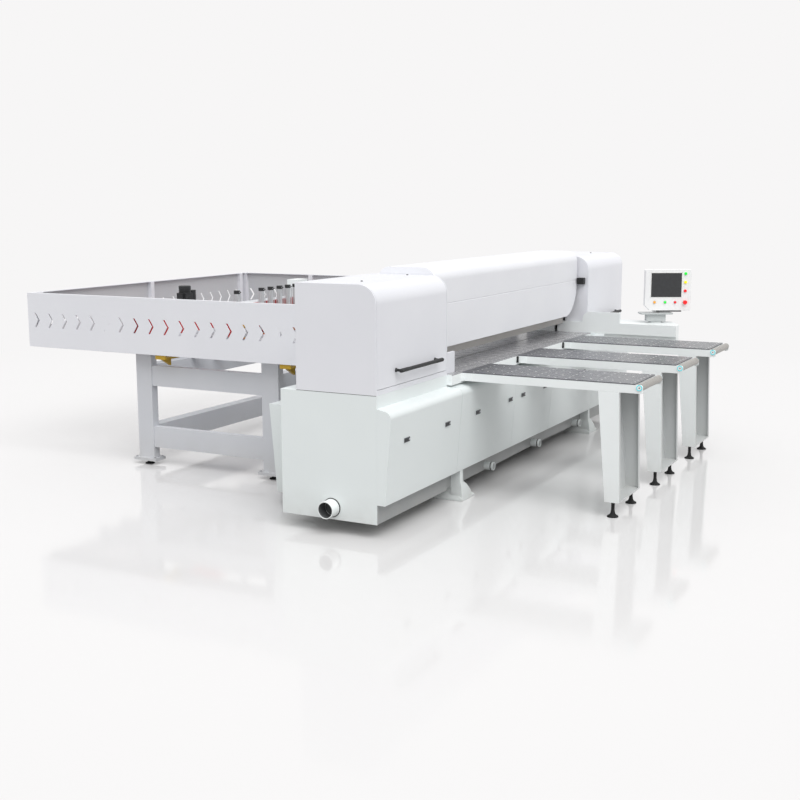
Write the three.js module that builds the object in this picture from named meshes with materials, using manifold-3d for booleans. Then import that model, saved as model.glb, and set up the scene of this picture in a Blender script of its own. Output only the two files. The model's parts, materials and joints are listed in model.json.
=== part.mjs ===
// Rear-feed panel saw: two hooded end cabinets joined by a saw bed and a pressure beam,
// three air tables with legs in front, and a fenced rear feed frame with a gripper pusher.
// Millimetres, +Z up, operator side towards -Y, origin under the middle of the machine.
import * as THREE from 'three';
import { mergeVertices } from 'three/addons/utils/BufferGeometryUtils.js';
import Module from 'manifold-3d';

const wasm = await Module();
wasm.setup();

// Fits and cutting
const overrun = 5;               // how far a cutting shape runs past the face it cuts
const seatGap = 0.3;             // between turned or cut neighbours
const runningGap = 0.5;          // between a moving piece and what guides it
const panelGap = 3;              // open seam round doors and covers

// Overall layout, measured back from the front face of the cabinets
const cutSpan = 3056;            // between the inner faces of the two hoods
const hoodLength = 1047;         // each cabinet and hood, along the beam
const tableHeight = 950;         // working height of beds and tables
const cabinetDepth = 728;
const cabinetBottom = 98;
const cabinetRecess = 3;         // cabinet tops lie this far under the bed surface
const cabinetWall = 12;
const hoodDepth = 603;
const hoodTop = 1654;
const hoodWall = 10;
const hoodRadius = 125;          // rounded upper front edge of the hood
const halfSpan = cutSpan / 2;
const halfLength = halfSpan + hoodLength;
const cabinetTop = tableHeight - cabinetRecess;

// Saw line and bed
const sawLine = 300;             // cutting plane behind the cabinet front
const slotWidth = 12;
const bedThickness = 40;
const bedOverhang = 37;          // bed edge in front of the cabinet front
const slotRun = 400;             // opening over the blades in the far cabinet top
const slotBay = 50;              // half its width
const bayMargin = 130;           // blade bay from the cabinet's outer end
const bayLength = 850;
const bayFront = 100;            // bay ahead of the saw line
const bayRear = 110;             // bay behind the saw line
const bedUnder = tableHeight - bedThickness;

// Base frame between and through the cabinets
const panThickness = 12;
const sillDepth = 60;
const sillTop = 236;
const sillRecess = 25;           // the sill stands back behind the covers
const topRailHeight = 38;
const postWidth = 60;
const rearBeamDepth = 116;
const stubRadius = 33;
const stubReach = 45;
const stubHeight = 134;
const stubShares = [-0.509, 0.141, 0.816];   // of half the cutting span

// Flared feet under the base
const footWidth = 174;
const footFlare = 20;
const footDepth = 190;
const footToe = 77;
const footPlate = 18;
const footNeck = 60;
const footCentreShares = [-0.861, 1.011];    // of half the cutting span

// Service box behind the near cabinet
const serviceLength = 415;
const serviceInset = 460;        // from the cabinet's outer end
const serviceTop = 742;
const serviceDepthTop = 405;
const serviceDepthBottom = 349;

// Dust outlet on the near end
const outletRadius = 46;
const outletWall = 6;
const outletReach = 90;
const outletHeight = 178;
const outletBack = 340;

// Front covers
const coverBottom = 231;
const coverTop = 842;
const coverToe = 59;             // proud of the cabinet at its foot
const coverBelly = 107;
const coverRise = 22;            // fall of a cover's roof towards the operator          // and under its rounded top
const coverRadius = 48;
const coverWall = 8;
const coverSeamShares = [-0.577, -0.179, 0.1445, 0.577];   // of half the length
const latchWidth = 52;
const latchHeight = 26;
const latchProud = 4;
const latchRise = 387;           // above the cover's foot
const latchShares = [[-0.905, -0.663], [-0.461, -0.217], [-0.113, 0.078], [0.217, 0.461],
  [0.663, 0.905]];

// Hood doors
const doorBottom = 980;
const doorTopReach = 250;        // how far the door runs back over the hood top
const handleLength = 693;
const handleInset = 181;         // from the hood's outer end on the left
const handleRadius = 14;
const handleStand = 50;
const handleRise = 103;           // above the door's foot
const handleFoot = 14;

// Pressure beam
const beamFront = 102;
const beamRear = 560;
const beamBottom = 1120;
const beamTop = 1707;
const beamRadius = 95;
const beamCornerRadius = 290;    // lower far corner of the beam cover
const beamFarGap = 28;
const beamWall = 10;
const beamSeam = 6;              // groove along the middle of the cover
const beamSeamHeight = 1437;
const coreFront = 230;
const coreDepth = 270;
const coreHeight = 240;
const coreReach = 372;           // into each hood
const ribThickness = 14;
const ribShares = [-0.96, -0.5, 0, 0.5, 0.93];   // of half the cutting span
const throat = 80;               // opening over the bed at rest
const footHeight = 105;          // presser shoes
const shoeDepth = 54;
const bladeGap = 28;
const shoeEnd = 34;

// Guide columns and lift cylinders of the beam
const columnWidth = 80;
const columnInset = 170;
const columnDepth = 58;
const columnHeight = 560;
const slipperDepth = 10;
const slipperHeight = 180;
const cylinderRadius = 36;
const cylinderHeight = 102;
const rodRadius = 12;
const rodDrop = 95;
const cylinderInset = 95;
const cylinderBack = 455;
const liftPlate = 8;

// Saw carriage, its head and blades
const homeInset = 475;           // main spindle from the cabinet's outer end
const railSize = 20;
const lowRailHeight = 300;
const highRailHeight = 560;
const railEndInset = 60;
const carriageBack = 240;        // plate behind the main spindle
const carriageAhead = 460;       // and ahead of it
const carriageLow = 240;
const carriageHigh = 780;
const carriagePlate = 30;
const blockLength = 110;
const blockLip = 20;
const wayWidth = 24;
const wayDepth = 15;
const mainWaySpread = 120;
const scoreWaySpread = 40;
const headPlate = 30;
const headHalfWidth = 165;
const headLow = 470;
const headHigh = 750;
const spindleHeight = 700;
const spindleRadius = 50;
const motorDrop = 280;
const motorRadius = 92;
const motorFins = 4;             // cooling fins on a motor
const finDepth = 6;
const caseDepth = 40;
const caseRadius = 62;
const mainBladeRadius = 200;
const mainBladeThickness = 4.4;
const mainTeeth = 48;
const toothDepth = 9;
const flangeRadius = 48;
const flangeThickness = 9;
const nutRadius = 22;
const nutLength = 14;
const caseStand = 25;            // belt case behind the saw line
const shaftRadius = 16;
const driveRadius = 55;
const driveLength = 120;
const scoreAhead = 320;
const scoreBladeRadius = 80;
const scoreBladeThickness = 3.2;
const scoreTeeth = 24;
const scoreToothDepth = 6;
const scoreHeight = 820;
const scoreHousingRadius = 30;
const scorePlateHalf = 70;
const scoreLow = 610;
const scoreMotorRadius = 52;
const scoreMotorDrop = 140;

// Side fence and console arm
const fenceFace = 28;            // fence face from the far hood's inner face
const fenceThickness = 24;
const fenceHeight = 100;
const fenceRear = 560;
const fenceKerf = 15;            // half the kerf gap in the fence
const fenceBridge = 6;
const humpFront = 320;           // raised duct on the fence beside the far hood
const humpRear = 38;
const humpHeight = 97;
const humpRadius = 70;           // left over the kerf gap
const armWidth = 356;
const armFront = 845;
const armRear = 170;
const armDepth = 150;
const armEnd = 86;               // width left at the arm's front end
const armSlope = 145;            // length of its slanted corner
const armRadius = 25;
const armBracketThickness = 28;
const armBracketInset = 36;
const armBracketWidth = 280;
const armBracketReach = 500;

// Operator pendant
const pendantTurn = 62.3;        // degrees, facing the operator's standing place
const pendantInX = 232;          // swivel from the far hood's inner face
const pendantFront = 580;
const pendantBaseRadius = 62;
const pendantBaseHeight = 12;
const pendantPostRadius = 34;
const swivelLength = 176;
const swivelDepth = 96;
const pendantPostHeight = 80;
const trayLength = 300;
const trayDepth = 150;
const trayThickness = 14;
const pendantWidth = 422;
const pendantHeight = 377;
const pendantDepth = 70;
const pendantSlip = 95;          // housing centre from the swivel
const pendantLift = 24;
const pendantChamfer = 46;
const screenWidth = 280;
const screenHeight = 222;
const screenDepth = 4;
const screenMargin = 54;
const screenTopMargin = 32;
const lampRadius = 11;
const lampProud = 8;
const lampInset = 54;
const lampShares = [0.9, 0.69, 0.48];        // of the housing height
const buttonRadius = 10;
const buttonLength = 22;
const buttonPocket = 10;
const buttonSeat = 4;            // button end inside its pocket at rest
const buttonRise = 76;
const buttonInsetShares = [0.21, 0.44, 0.66];  // of the housing width
const stopRadius = 19;
const stopStem = 10;
const stopCap = 14;

// Air tables
const tableWidth = 494;
const tablePitch = 1061;
const tableMiddle = -41;
const tableEnd = 1321;           // end of the table top in front of the cabinet front
const tableTopThickness = 8;
const tableTrayDepth = 58;
const tableCount = 3;
const cheekThickness = 14;
const cheekReach = 52;
const rollerRadius = 26;
const rollerBack = 31;           // roller axis ahead of the table end
const axleRadius = 8;
const axleClearance = 1;
const axleRun = 10;
const capRadius = 21;
const capProud = 6;
const clampWidth = 60;
const clampHeight = 52;
const clampDepth = 14;
const clampThickness = 10;

// Table legs
const legTopFront = 1211;
const legTopDepth = 150;
const legFootFront = 1234;
const legFootDepth = 107;
const legBottom = 106;
const legWall = 6;
const legLip = 26;
const legPlate = 10;
const levellerSpread = 215;
const levellerRadius = 40;
const levellerDisc = 12;
const levellerCone = 46;
const levellerStem = 12;

// Rear feed frame
const frameHalfWidth = 1475;
const postSize = 156;
const postAcross = 72;
const frontPost = 1477;
const rearPostY = 2729;
const basePlate = 24;
const baseOverhang = 32;
const rearFloorGap = 35;
const upperRailLow = 667;
const upperRailHigh = 836;
const lowerRailLow = 151;
const lowerRailHigh = 326;
const frameRailWidth = 110;
const sideRailWidth = 56;
const feedBeamLow = 925;
const feedBeamWidth = 80;
const feedBeamHeight = 60;
const feedRailSize = 20;
const slatWidth = 60;
const slatHalfSpread = 880;
const slatCount = 7;
const slatEndGap = 46;
const slatTie = 30;
const slatRollerRadius = 14;

// Rear guard
const guardHalfWidth = 1603;
const guardRear = 3942;
const guardTop = 1406;
const guardPlate = 6;
const guardFlange = 34;
const guardPostDepth = 40;
const guardPostWidth = 46;
const chevronPitch = 153.8;
const chevronMargin = 110;
const chevronHeight = 122;
const chevronReach = 40;
const chevronWidth = 20;
const chevronMid = 1175;
const sidePostPitch = 841;
const rearPostPitch = 1480;
const bracketWidth = 100;
const bracketPlate = 12;
const bracketDrop = 60;
const bracketPlaces = [2530, 1330];

// Gripper pusher
const pusherRest = 2666;         // gripper line behind the cabinet front
const pusherBack = 94;
const pusherDepth = 160;
const pusherLow = 1060;
const pusherHeight = 180;
const truckLength = 240;
const truckWidth = 70;
const truckLip = 22;
const gripperShares = [-0.216, 0.039, 0.137, 0.236, 0.33, 0.416];
const gripperWidth = 64;
const jawReach = 106;
const jawThickness = 6;
const jawLift = 1;
const gripperPlateHeight = 1132;
const gripperPlate = 18;
const gripperBack = 34;
const airRadius = 26;
const airTop = 1380;
const airCap = 30;
const pistonRadius = 8;
const pistonReach = 199;         // from the jaw's underside to the piston rod's top
const airFlange = 3;
const gripperRail = 12;
const jawOpen = 90;
const jawFinger = 22;
const pusherMotorSide = 100;
const pusherMotorTop = 1450;
const pusherMotorShare = -0.56;
const gearBoxSide = 80;
const gearBoxHeight = 150;
const junctionLength = 190;
const junctionDepth = 120;
const junctionTop = 1400;
const junctionShare = 0.64;

// Small fixed pieces
const sensorSide = 50;
const sensorDepth = 65;
const sensorHeight = 60;
const sensorFront = 30;
const sensorLow = 1400;
const endPlateReach = 163;
const endPlateFront = 17;
const endPlateDepth = 20;
const endPlateHeight = 150;

// Facets round circles
const fine = 24;
const medium = 14;
const coarse = 10;
const arcFacets = 6;

// Solids. Every shape becomes a manifold body, so it can be joined and cut.
function solidOf(geometry) {
  const bare = geometry.clone();
  for (const key of Object.keys(bare.attributes)) if (key !== 'position') bare.deleteAttribute(key);
  const merged = mergeVertices(bare);
  return new wasm.Manifold(new wasm.Mesh({
    numProp: 3,
    vertProperties: new Float32Array(merged.attributes.position.array),
    triVerts: new Uint32Array(merged.index.array),
  }));
}

function block(xa, xb, ya, yb, za, zb) {
  const shape = new THREE.BoxGeometry(Math.abs(xb - xa), Math.abs(yb - ya), Math.abs(zb - za));
  return solidOf(shape.translate((xa + xb) / 2, (ya + yb) / 2, (za + zb) / 2));
}

// An outline from corners [a, b, radius], where a corner with a radius is rounded.
function outline(corners, facets = arcFacets) {
  const points = [];
  corners.forEach(([a, b, radius = 0], i) => {
    const here = new THREE.Vector2(a, b);
    if (!radius) { points.push(here); return; }
    const last = corners[(i + corners.length - 1) % corners.length];
    const next = corners[(i + 1) % corners.length];
    const back = new THREE.Vector2(last[0], last[1]).sub(here).normalize();
    const ahead = new THREE.Vector2(next[0], next[1]).sub(here).normalize();
    const half = Math.acos(THREE.MathUtils.clamp(back.dot(ahead), -1, 1)) / 2;
    const centre = back.clone().add(ahead).normalize().multiplyScalar(radius / Math.sin(half)).add(here);
    const from = here.clone().addScaledVector(back, radius / Math.tan(half)).sub(centre);
    const to = here.clone().addScaledVector(ahead, radius / Math.tan(half)).sub(centre);
    let sweep = to.angle() - from.angle();
    if (sweep > Math.PI) sweep -= 2 * Math.PI;
    if (sweep < -Math.PI) sweep += 2 * Math.PI;
    for (let k = 0; k <= facets; k += 1) {
      const angle = from.angle() + sweep * k / facets;
      points.push(new THREE.Vector2(Math.cos(angle), Math.sin(angle)).multiplyScalar(radius).add(centre));
    }
  });
  return points;
}

function extrude(points, length) {
  const shape = new THREE.Shape(THREE.ShapeUtils.isClockWise(points) ? [...points].reverse() : points);
  return new THREE.ExtrudeGeometry(shape, { depth: length, bevelEnabled: false });
}

// Prisms whose outline lies across the X, Y or Z axis and that run from one value to another.
function prismX(points, from, to) {
  const turn = new THREE.Matrix4().set(0, 0, 1, 0, 1, 0, 0, 0, 0, 1, 0, 0, 0, 0, 0, 1);
  return solidOf(extrude(points, to - from).applyMatrix4(turn).translate(from, 0, 0));
}
function prismY(points, from, to) {
  return solidOf(extrude(points, to - from).rotateX(Math.PI / 2).translate(0, to, 0));
}
function prismZ(points, from, to) {
  return solidOf(extrude(points, to - from).translate(0, 0, from));
}

function rod(axis, radius, from, to, u, v, facets = medium) {
  const shape = new THREE.CylinderGeometry(radius, radius, to - from, facets);
  const middle = (from + to) / 2;
  if (axis === 'x') shape.rotateZ(Math.PI / 2).translate(middle, u, v);
  if (axis === 'y') shape.translate(u, middle, v);
  if (axis === 'z') shape.rotateX(Math.PI / 2).translate(u, v, middle);
  return solidOf(shape);
}

// A turned piece standing on +Z, from [radius, height] pairs that start and end on the axis.
function turned(profile, facets = coarse) {
  const points = profile.map(([radius, height]) => new THREE.Vector2(radius, height));
  return solidOf(new THREE.LatheGeometry(points, facets).rotateX(Math.PI / 2));
}

const rising = (a, b) => [Math.min(a, b), Math.max(a, b)];
const join = (...solids) => solids.flat().reduce((a, b) => a.add(b));
const cut = (solid, ...tools) => tools.flat().reduce((a, b) => a.subtract(b), solid);
const along = (count, place) => Array.from({ length: count }, (_, i) => place(i));

const paint = (color, roughness, metalness) => ({ color, roughness, metalness });
const hoodWhite = paint(0xdedfe4, 0.38, 0.1);
const bodyWhite = paint(0xdee4e4, 0.42, 0.1);
const frameGrey = paint(0xcdcfd4, 0.5, 0.15);
const topGrey = paint(0x82828a, 0.35, 0.2);
const darkGrey = paint(0x46484a, 0.45, 0.2);
const black = paint(0x141414, 0.5, 0.1);
const steel = paint(0xc3c5c8, 0.28, 0.9);
const gripRed = paint(0xb01c1c, 0.4, 0.1);
const bracketYellow = paint(0xbea528, 0.45, 0.1);
const rollerGrey = paint(0xc8c3be, 0.55, 0.3);
const screenDark = paint(0x101318, 0.15, 0.1);

function piece(name, solid, look, position = [0, 0, 0]) {
  const { vertProperties, triVerts } = solid.getMesh();
  const geometry = new THREE.BufferGeometry();
  geometry.setAttribute('position', new THREE.BufferAttribute(new Float32Array(vertProperties), 3));
  geometry.setIndex(new THREE.BufferAttribute(new Uint32Array(triVerts), 1));
  geometry.computeVertexNormals();
  const mesh = new THREE.Mesh(geometry, new THREE.MeshStandardMaterial(look));
  mesh.name = name;
  mesh.position.set(...position);
  return mesh;
}

// End cabinets: folded shells, open towards the bed, slotted for the blades.
function cabinet(side) {
  const inner = side * halfSpan;
  const outer = side * halfLength;
  const skin = side * cabinetWall;
  const mouth = inner - side * overrun;
  let shell = cut(
    block(inner, outer, 0, cabinetDepth, cabinetBottom, cabinetTop),
    block(mouth, outer - skin, sillRecess + cabinetWall, cabinetDepth - cabinetWall,
      cabinetBottom + cabinetWall, cabinetTop - cabinetWall),
    block(mouth, outer - skin, cabinetWall, sillDepth, coverBottom + cabinetWall,
      cabinetTop - cabinetWall),
    block(mouth, outer - skin, -overrun, sillRecess, cabinetBottom - overrun, coverBottom));
  const roof = [cabinetTop - cabinetWall - overrun, cabinetTop + overrun];
  const slot = [sawLine - slotBay, sawLine + slotBay];
  if (side > 0) return cut(shell, block(inner - overrun, inner + slotRun, ...slot, ...roof));
  const bay = outer + bayMargin;
  shell = cut(shell, block(bay, inner + overrun, ...slot, ...roof),
    block(bay, bay + bayLength, sawLine - bayFront, sawLine + bayRear, ...roof),
    block(scoreX - scorePlateHalf - runningGap, inner + overrun, caseFront - runningGap,
      headBack + runningGap, scoreLow, scoreHeight + scoreHousingRadius + runningGap),
    rod('x', outletRadius - outletWall, outer - overrun, outer + cabinetWall + overrun,
      outletBack, outletHeight));
  const start = outer + serviceInset;
  return join(shell, dustOutlet(), prismX(outline([
    [cabinetDepth - cabinetWall / 2, cabinetBottom], [cabinetDepth + serviceDepthBottom, cabinetBottom],
    [cabinetDepth + serviceDepthTop, serviceTop], [cabinetDepth - cabinetWall / 2, serviceTop]]),
  start, start + serviceLength));
}

// Base: floor pan, sill, posts and top rail in front, and behind them the rear beam that runs
// through both cabinets and carries the two rails of the saw carriage.
const railFace = cabinetDepth - cabinetWall - rearBeamDepth;
const seamX = coverSeamShares.map((share) => share * halfLength);
const pan = cabinetBottom + panThickness;
function baseFrame() {
  const end = halfLength - cabinetWall;
  const posts = seamX.slice(1, 3).map((x) => block(x - postWidth / 2, x + postWidth / 2,
    sillRecess, sillDepth, sillTop - overrun, bedUnder - topRailHeight + overrun));
  const stubs = stubShares.map((share) => rod('y', stubRadius, -stubReach, sillDepth / 2,
    share * halfSpan, stubHeight, medium));
  const rails = [lowRailHeight, highRailHeight].map((z) => block(-end + railEndInset,
    end - railEndInset, railFace - railSize, railFace + overrun, z - railSize / 2, z + railSize / 2));
  return join(
    block(-halfSpan, halfSpan, sillRecess, cabinetDepth - cabinetWall, cabinetBottom, pan),
    block(-halfSpan, halfSpan, sillRecess, sillDepth, cabinetBottom, sillTop),
    block(-halfSpan, halfSpan, 0, sillDepth, sillTop - panThickness, sillTop),
    block(-halfSpan, halfSpan, -bedOverhang, sillDepth, bedUnder - topRailHeight, bedUnder),
    block(-end, end, railFace, cabinetDepth - cabinetWall, pan, bedUnder),
    block(-halfSpan, halfSpan, railFace, cabinetDepth - cabinetWall, cabinetBottom, pan + overrun),
    posts, stubs, rails, machineFeet());
}

const bedFront = () => block(-halfSpan, halfSpan, -bedOverhang, sawLine - slotWidth / 2,
  bedUnder, tableHeight);
const bedRear = () => block(-halfSpan, halfSpan, sawLine + slotWidth / 2, cabinetDepth,
  bedUnder, tableHeight);

// A foot: a neck under the sill that flares to a plate with a toe towards the operator.
function machineFeet() {
  const neck = footWidth / 2;
  const wide = neck + footFlare;
  const seat = cabinetBottom + panThickness / 2;
  const side = (x) => outline([[x - neck, seat], [x + neck, seat],
    [x + neck, footNeck], [x + wide, footPlate], [x + wide, 0], [x - wide, 0],
    [x - wide, footPlate], [x - neck, footNeck]]);
  const section = (front, toe, depth) => outline([[front, seat],
    [front + depth, seat], [front + depth, 0], [front - toe, 0],
    [front - toe, footPlate], [front, footNeck]]);
  const back = cabinetDepth - cabinetWall - footDepth;
  const feet = footCentreShares.flatMap((share) => [[0, footToe], [back, 0]].map(([front, toe]) => {
    const x = share * halfSpan;
    const reach = neck + footFlare + overrun;
    return prismY(side(x), front - footToe - overrun, front + footDepth + overrun)
      .intersect(prismX(section(front, toe, footDepth), x - reach, x + reach));
  }));
  const necks = footCentreShares.map((share) => block(share * halfSpan - neck,
    Math.min(share * halfSpan + neck, halfSpan), 0, sillRecess + overrun, seat - overrun,
    coverBottom - panelGap));
  return cut(join(feet, necks), block(halfSpan, halfLength, -overrun, cabinetDepth, cabinetBottom, pan));
}

function dustOutlet() {
  const outer = -halfLength;
  return cut(
    join(rod('x', outletRadius, outer - outletReach, outer, outletBack, outletHeight),
      rod('x', outletRadius + outletWall, outer - 2 * outletWall, outer + cabinetWall / 2,
        outletBack, outletHeight)),
    rod('x', outletRadius - outletWall, outer - outletReach - overrun, outer + cabinetWall,
      outletBack, outletHeight));
}

// Hoods: side plates, rear wall and rear top, with the front left for the lift-up door.
const hoodSection = (inset) => outline([
  [inset, cabinetTop + (inset ? -overrun : 0)], [hoodDepth - inset, cabinetTop + (inset ? -overrun : 0)],
  [hoodDepth - inset, hoodTop - inset], [inset, hoodTop - inset, hoodRadius - inset]], 2 * arcFacets);
const coreBottom = tableHeight + throat + footHeight;
const endSensor = () => block(halfSpan - sensorSide, halfSpan + hoodWall / 2, sensorFront,
  sensorFront + sensorDepth, sensorLow, sensorLow + sensorHeight);
function hood(side) {
  const ends = [side * halfSpan, side * halfLength].sort((a, b) => a - b);
  const shell = prismX(hoodSection(0), ends[0], ends[1]);
  const hollow = prismX(hoodSection(hoodWall), ends[0] + hoodWall, ends[1] - hoodWall);
  const front = block(ends[0] + hoodWall, ends[1] - hoodWall, -overrun, doorTopReach,
    doorBottom, hoodTop + overrun);
  const wall = side * halfSpan;
  const passage = block(wall - side * overrun, wall + side * (hoodWall + overrun),
    coreFront - hoodWall, coreFront + coreDepth + hoodWall,
    cabinetTop - overrun, coreBottom + coreHeight + panelGap + hoodWall);
  const body = cut(shell, hollow, front, passage);
  if (side > 0) return join(body, endSensor());
  return join(body, block(wall - hoodWall, wall + endPlateReach, endPlateFront,
    endPlateFront + endPlateDepth, tableHeight, tableHeight + endPlateHeight));
}

// Door: the rounded front skin of the hood, hung on its upper rear edge.
function hoodDoor(side) {
  const ends = [side * halfSpan, side * halfLength].sort((a, b) => a - b);
  const from = ends[0] + hoodWall + panelGap;
  const to = ends[1] - hoodWall - panelGap;
  const skin = prismX(hoodSection(0), from, to).subtract(
    prismX(hoodSection(hoodWall), from + hoodWall, to - hoodWall));
  return skin.intersect(block(from - overrun, to + overrun, -overrun, doorTopReach - seatGap,
    doorBottom + panelGap, hoodTop + overrun))
    .subtract(prismX(hoodSection(2 * hoodWall), from - overrun, to + overrun));
}

function doorHandle(side) {
  const from = Math.min(side * halfSpan, side * halfLength) + handleInset;
  const to = from + handleLength;
  const z = doorBottom + handleRise;
  const feet = [from + handleFoot, to - handleFoot].map((x) => rod('y', handleFoot,
    -handleStand, 0, x, z, coarse));
  return join(rod('x', handleRadius, from, to, -handleStand, z, coarse), feet);
}

// Front covers: pressed panels with a sloping face and rounded top, latched near the top.
function frontCover(index) {
  const from = index === 0 ? -halfLength : seamX[index - 1] + panelGap / 2;
  const to = index === seamX.length ? halfLength : seamX[index] - panelGap / 2;
  const section = (inset) => outline([
    [inset ? overrun : 0, coverBottom + inset], [-coverToe + inset, coverBottom + inset],
    [-coverBelly + inset, coverTop - inset, coverRadius],
    [inset ? overrun : 0, coverTop + coverRise - inset]]);
  const panel = prismX(section(0), from, to).subtract(
    prismX(section(coverWall), from + coverWall, to - coverWall));
  const slope = (coverBelly - coverToe) / (coverTop - coverBottom);
  const z = coverBottom + latchRise;
  const face = -coverToe - slope * latchRise;
  const latchX = latchShares[index].map((share) => share * halfLength);
  return join(panel, latchX.map((x) => block(x - latchWidth / 2,
    x + latchWidth / 2, face - latchProud - slope * latchHeight, face + coverWall, z, z + latchHeight)));
}

// Pressure beam: a folded cover over a box core with two presser shoes under it.
function beamCover() {
  const from = -halfSpan + panelGap;
  const to = halfSpan - beamFarGap;
  const section = (inset) => outline([
    [beamFront + inset, beamBottom - (inset ? overrun : 0)],
    [beamRear - inset, beamBottom - (inset ? overrun : 0)],
    [beamRear - inset, beamTop - inset, beamRadius - inset],
    [beamFront + inset, beamTop - inset, beamRadius - inset]], arcFacets + 2);
  const corner = outline([[to - beamCornerRadius, beamBottom - overrun], [to + overrun, beamBottom - overrun],
    [to + overrun, beamBottom + beamCornerRadius]]);
  const round = rod('y', beamCornerRadius, beamFront - 2 * overrun, beamRear + 2 * overrun,
    to - beamCornerRadius, beamBottom + beamCornerRadius, 2 * fine);
  const nook = prismY(corner, beamFront - overrun, beamRear + overrun);
  const square = block(to - beamCornerRadius, to + overrun, beamFront - overrun, beamRear + overrun,
    beamBottom - overrun, beamBottom + beamCornerRadius);
  const seam = block(from - overrun, to + overrun, beamFront - overrun, beamFront + beamSeam / 2,
    beamSeamHeight - beamSeam / 2, beamSeamHeight + beamSeam / 2);
  const mouth = block(from - overrun, to + overrun, beamFront + beamWall, beamRear - beamWall,
    beamBottom - overrun, coreBottom + coreHeight + seatGap);
  return cut(prismX(section(0), from, to), prismX(section(beamWall), from + beamWall, to - beamWall),
    mouth, square.subtract(round), nook.subtract(round), seam);
}

const coreRear = coreFront + coreDepth;
const coreTop = coreBottom + coreHeight;
const shoeLow = tableHeight + throat;
const frontPresser = () => block(-halfSpan + shoeEnd, halfSpan - shoeEnd, coreFront,
  sawLine - bladeGap / 2, shoeLow, coreTop);
// The rear presser carries the whole beam: ribs for the cover, lift rods and slippers.
function rearPresser() {
  const reach = halfSpan + coreReach;
  const front = sawLine + bladeGap / 2;
  const skinFront = beamFront + beamWall;
  const skinRear = beamRear - beamWall;
  const shoulder = beamTop - beamRadius;
  const crown = beamTop - 2 * beamWall;
  const ribs = ribShares.map((share) => {
    const [from, to] = [share * halfSpan - ribThickness / 2, share * halfSpan + ribThickness / 2];
    return join(prismX(outline([[skinFront, coreTop], [skinRear, coreTop], [skinRear, shoulder],
      [beamRear - beamRadius, crown], [beamFront + beamRadius, crown], [skinFront, shoulder]]), from, to),
    block(from, to, front, coreRear, coreTop - overrun, coreTop + overrun));
  });
  const rods = [-1, 1].map((side) => rod('z', rodRadius, coreBottom - rodDrop, coreBottom + overrun,
    side * (halfSpan + cylinderInset), cylinderBack, coarse));
  const slippers = [-1, 1].map((side) => {
    const x = side * (halfSpan + columnInset);
    return block(x - columnWidth / 2, x + columnWidth / 2, coreRear - overrun, coreRear + slipperDepth,
      coreBottom, coreBottom + slipperHeight);
  });
  return join(block(-reach, reach, front, coreRear, coreBottom, coreTop),
    block(-halfSpan + shoeEnd, halfSpan - shoeEnd, front, front + shoeDepth, shoeLow, coreBottom + overrun),
    ribs, rods, slippers);
}

function beamLift(side) {
  const column = side * (halfSpan + columnInset);
  const front = coreRear + slipperDepth + runningGap;
  const cylinder = side * (halfSpan + cylinderInset);
  const plate = liftPlate + cabinetTop;
  const ends = [cylinder - side * cylinderRadius, column + side * columnWidth / 2];
  return cut(join(
    block(column - columnWidth / 2, column + columnWidth / 2, front, front + columnDepth,
      cabinetTop, cabinetTop + columnHeight),
    rod('z', cylinderRadius, cabinetTop, cabinetTop + cylinderHeight, cylinder, cylinderBack),
    block(...ends, cylinderBack - cylinderRadius, front + columnDepth, cabinetTop, plate)),
  rod('z', rodRadius + 2 * runningGap, plate, cabinetTop + cylinderHeight + overrun,
    cylinder, cylinderBack, coarse));
}

// Saw carriage on the two rails of the rear beam. The far end of travel is in the far cabinet.
const homeX = -halfLength + homeInset;
const scoreX = homeX + scoreAhead;
const wayFace = railFace - railSize - carriagePlate - runningGap;   // front of the carriage plate
function railBlock(x, z) {
  const body = block(x - blockLength / 2, x + blockLength / 2, wayFace + carriagePlate / 2,
    railFace - runningGap, z - railSize / 2 - blockLip, z + railSize / 2 + blockLip);
  return body.subtract(block(x - blockLength, x + blockLength, railFace - railSize - runningGap,
    railFace, z - railSize / 2 - runningGap, z + railSize / 2 + runningGap));
}
function way(x, low, high) {
  return block(x - wayWidth / 2, x + wayWidth / 2, wayFace - wayDepth, wayFace + overrun, low, high);
}
function sawCarriage() {
  const from = homeX - carriageBack;
  const to = homeX + carriageAhead;
  const edge = blockLength / 2;
  const blocks = [from + edge, to - edge].flatMap((x) => [lowRailHeight, highRailHeight]
    .map((z) => railBlock(x, z)));
  const ways = [-mainWaySpread, mainWaySpread].map((x) => way(homeX + x, carriageLow, carriageHigh));
  const scoreWays = [-scoreWaySpread, scoreWaySpread].map((x) => way(scoreX + x,
    scoreLow - overrun, carriageHigh));
  return join(block(from, to, wayFace, wayFace + carriagePlate, carriageLow, carriageHigh),
    blocks, ways, scoreWays,
    rod('z', driveRadius, carriageLow - driveLength, carriageLow + overrun, to - driveRadius,
      wayFace + carriagePlate - driveRadius));
}

const headBack = wayFace - wayDepth - runningGap;
const caseFront = sawLine + caseStand;
// A belt case joins two centres with round ends.
function beltCase(x, low, high, radius, from, to) {
  return join(rod('y', radius, from, to, x, low), rod('y', radius, from, to, x, high),
    block(x - radius, x + radius, from, to, low, high));
}
function finned(x, z, radius, from, to) {
  const pitch = (to - from) / (2 * motorFins - 1);
  return join(rod('y', radius - finDepth, from, to, x, z),
    along(motorFins, (i) => rod('y', radius, from + 2 * i * pitch, from + (2 * i + 1) * pitch, x, z)));
}
function sawHead() {
  return join(
    block(homeX - headHalfWidth, homeX + headHalfWidth, headBack - headPlate, headBack,
      headLow, headHigh),
    rod('y', spindleRadius, caseFront, headBack - headPlate, homeX, spindleHeight),
    beltCase(homeX, spindleHeight - motorDrop, spindleHeight, caseRadius, caseFront,
      caseFront + caseDepth),
    finned(homeX, spindleHeight - motorDrop, motorRadius, caseFront + caseDepth, headBack - wayDepth));
}
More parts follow.
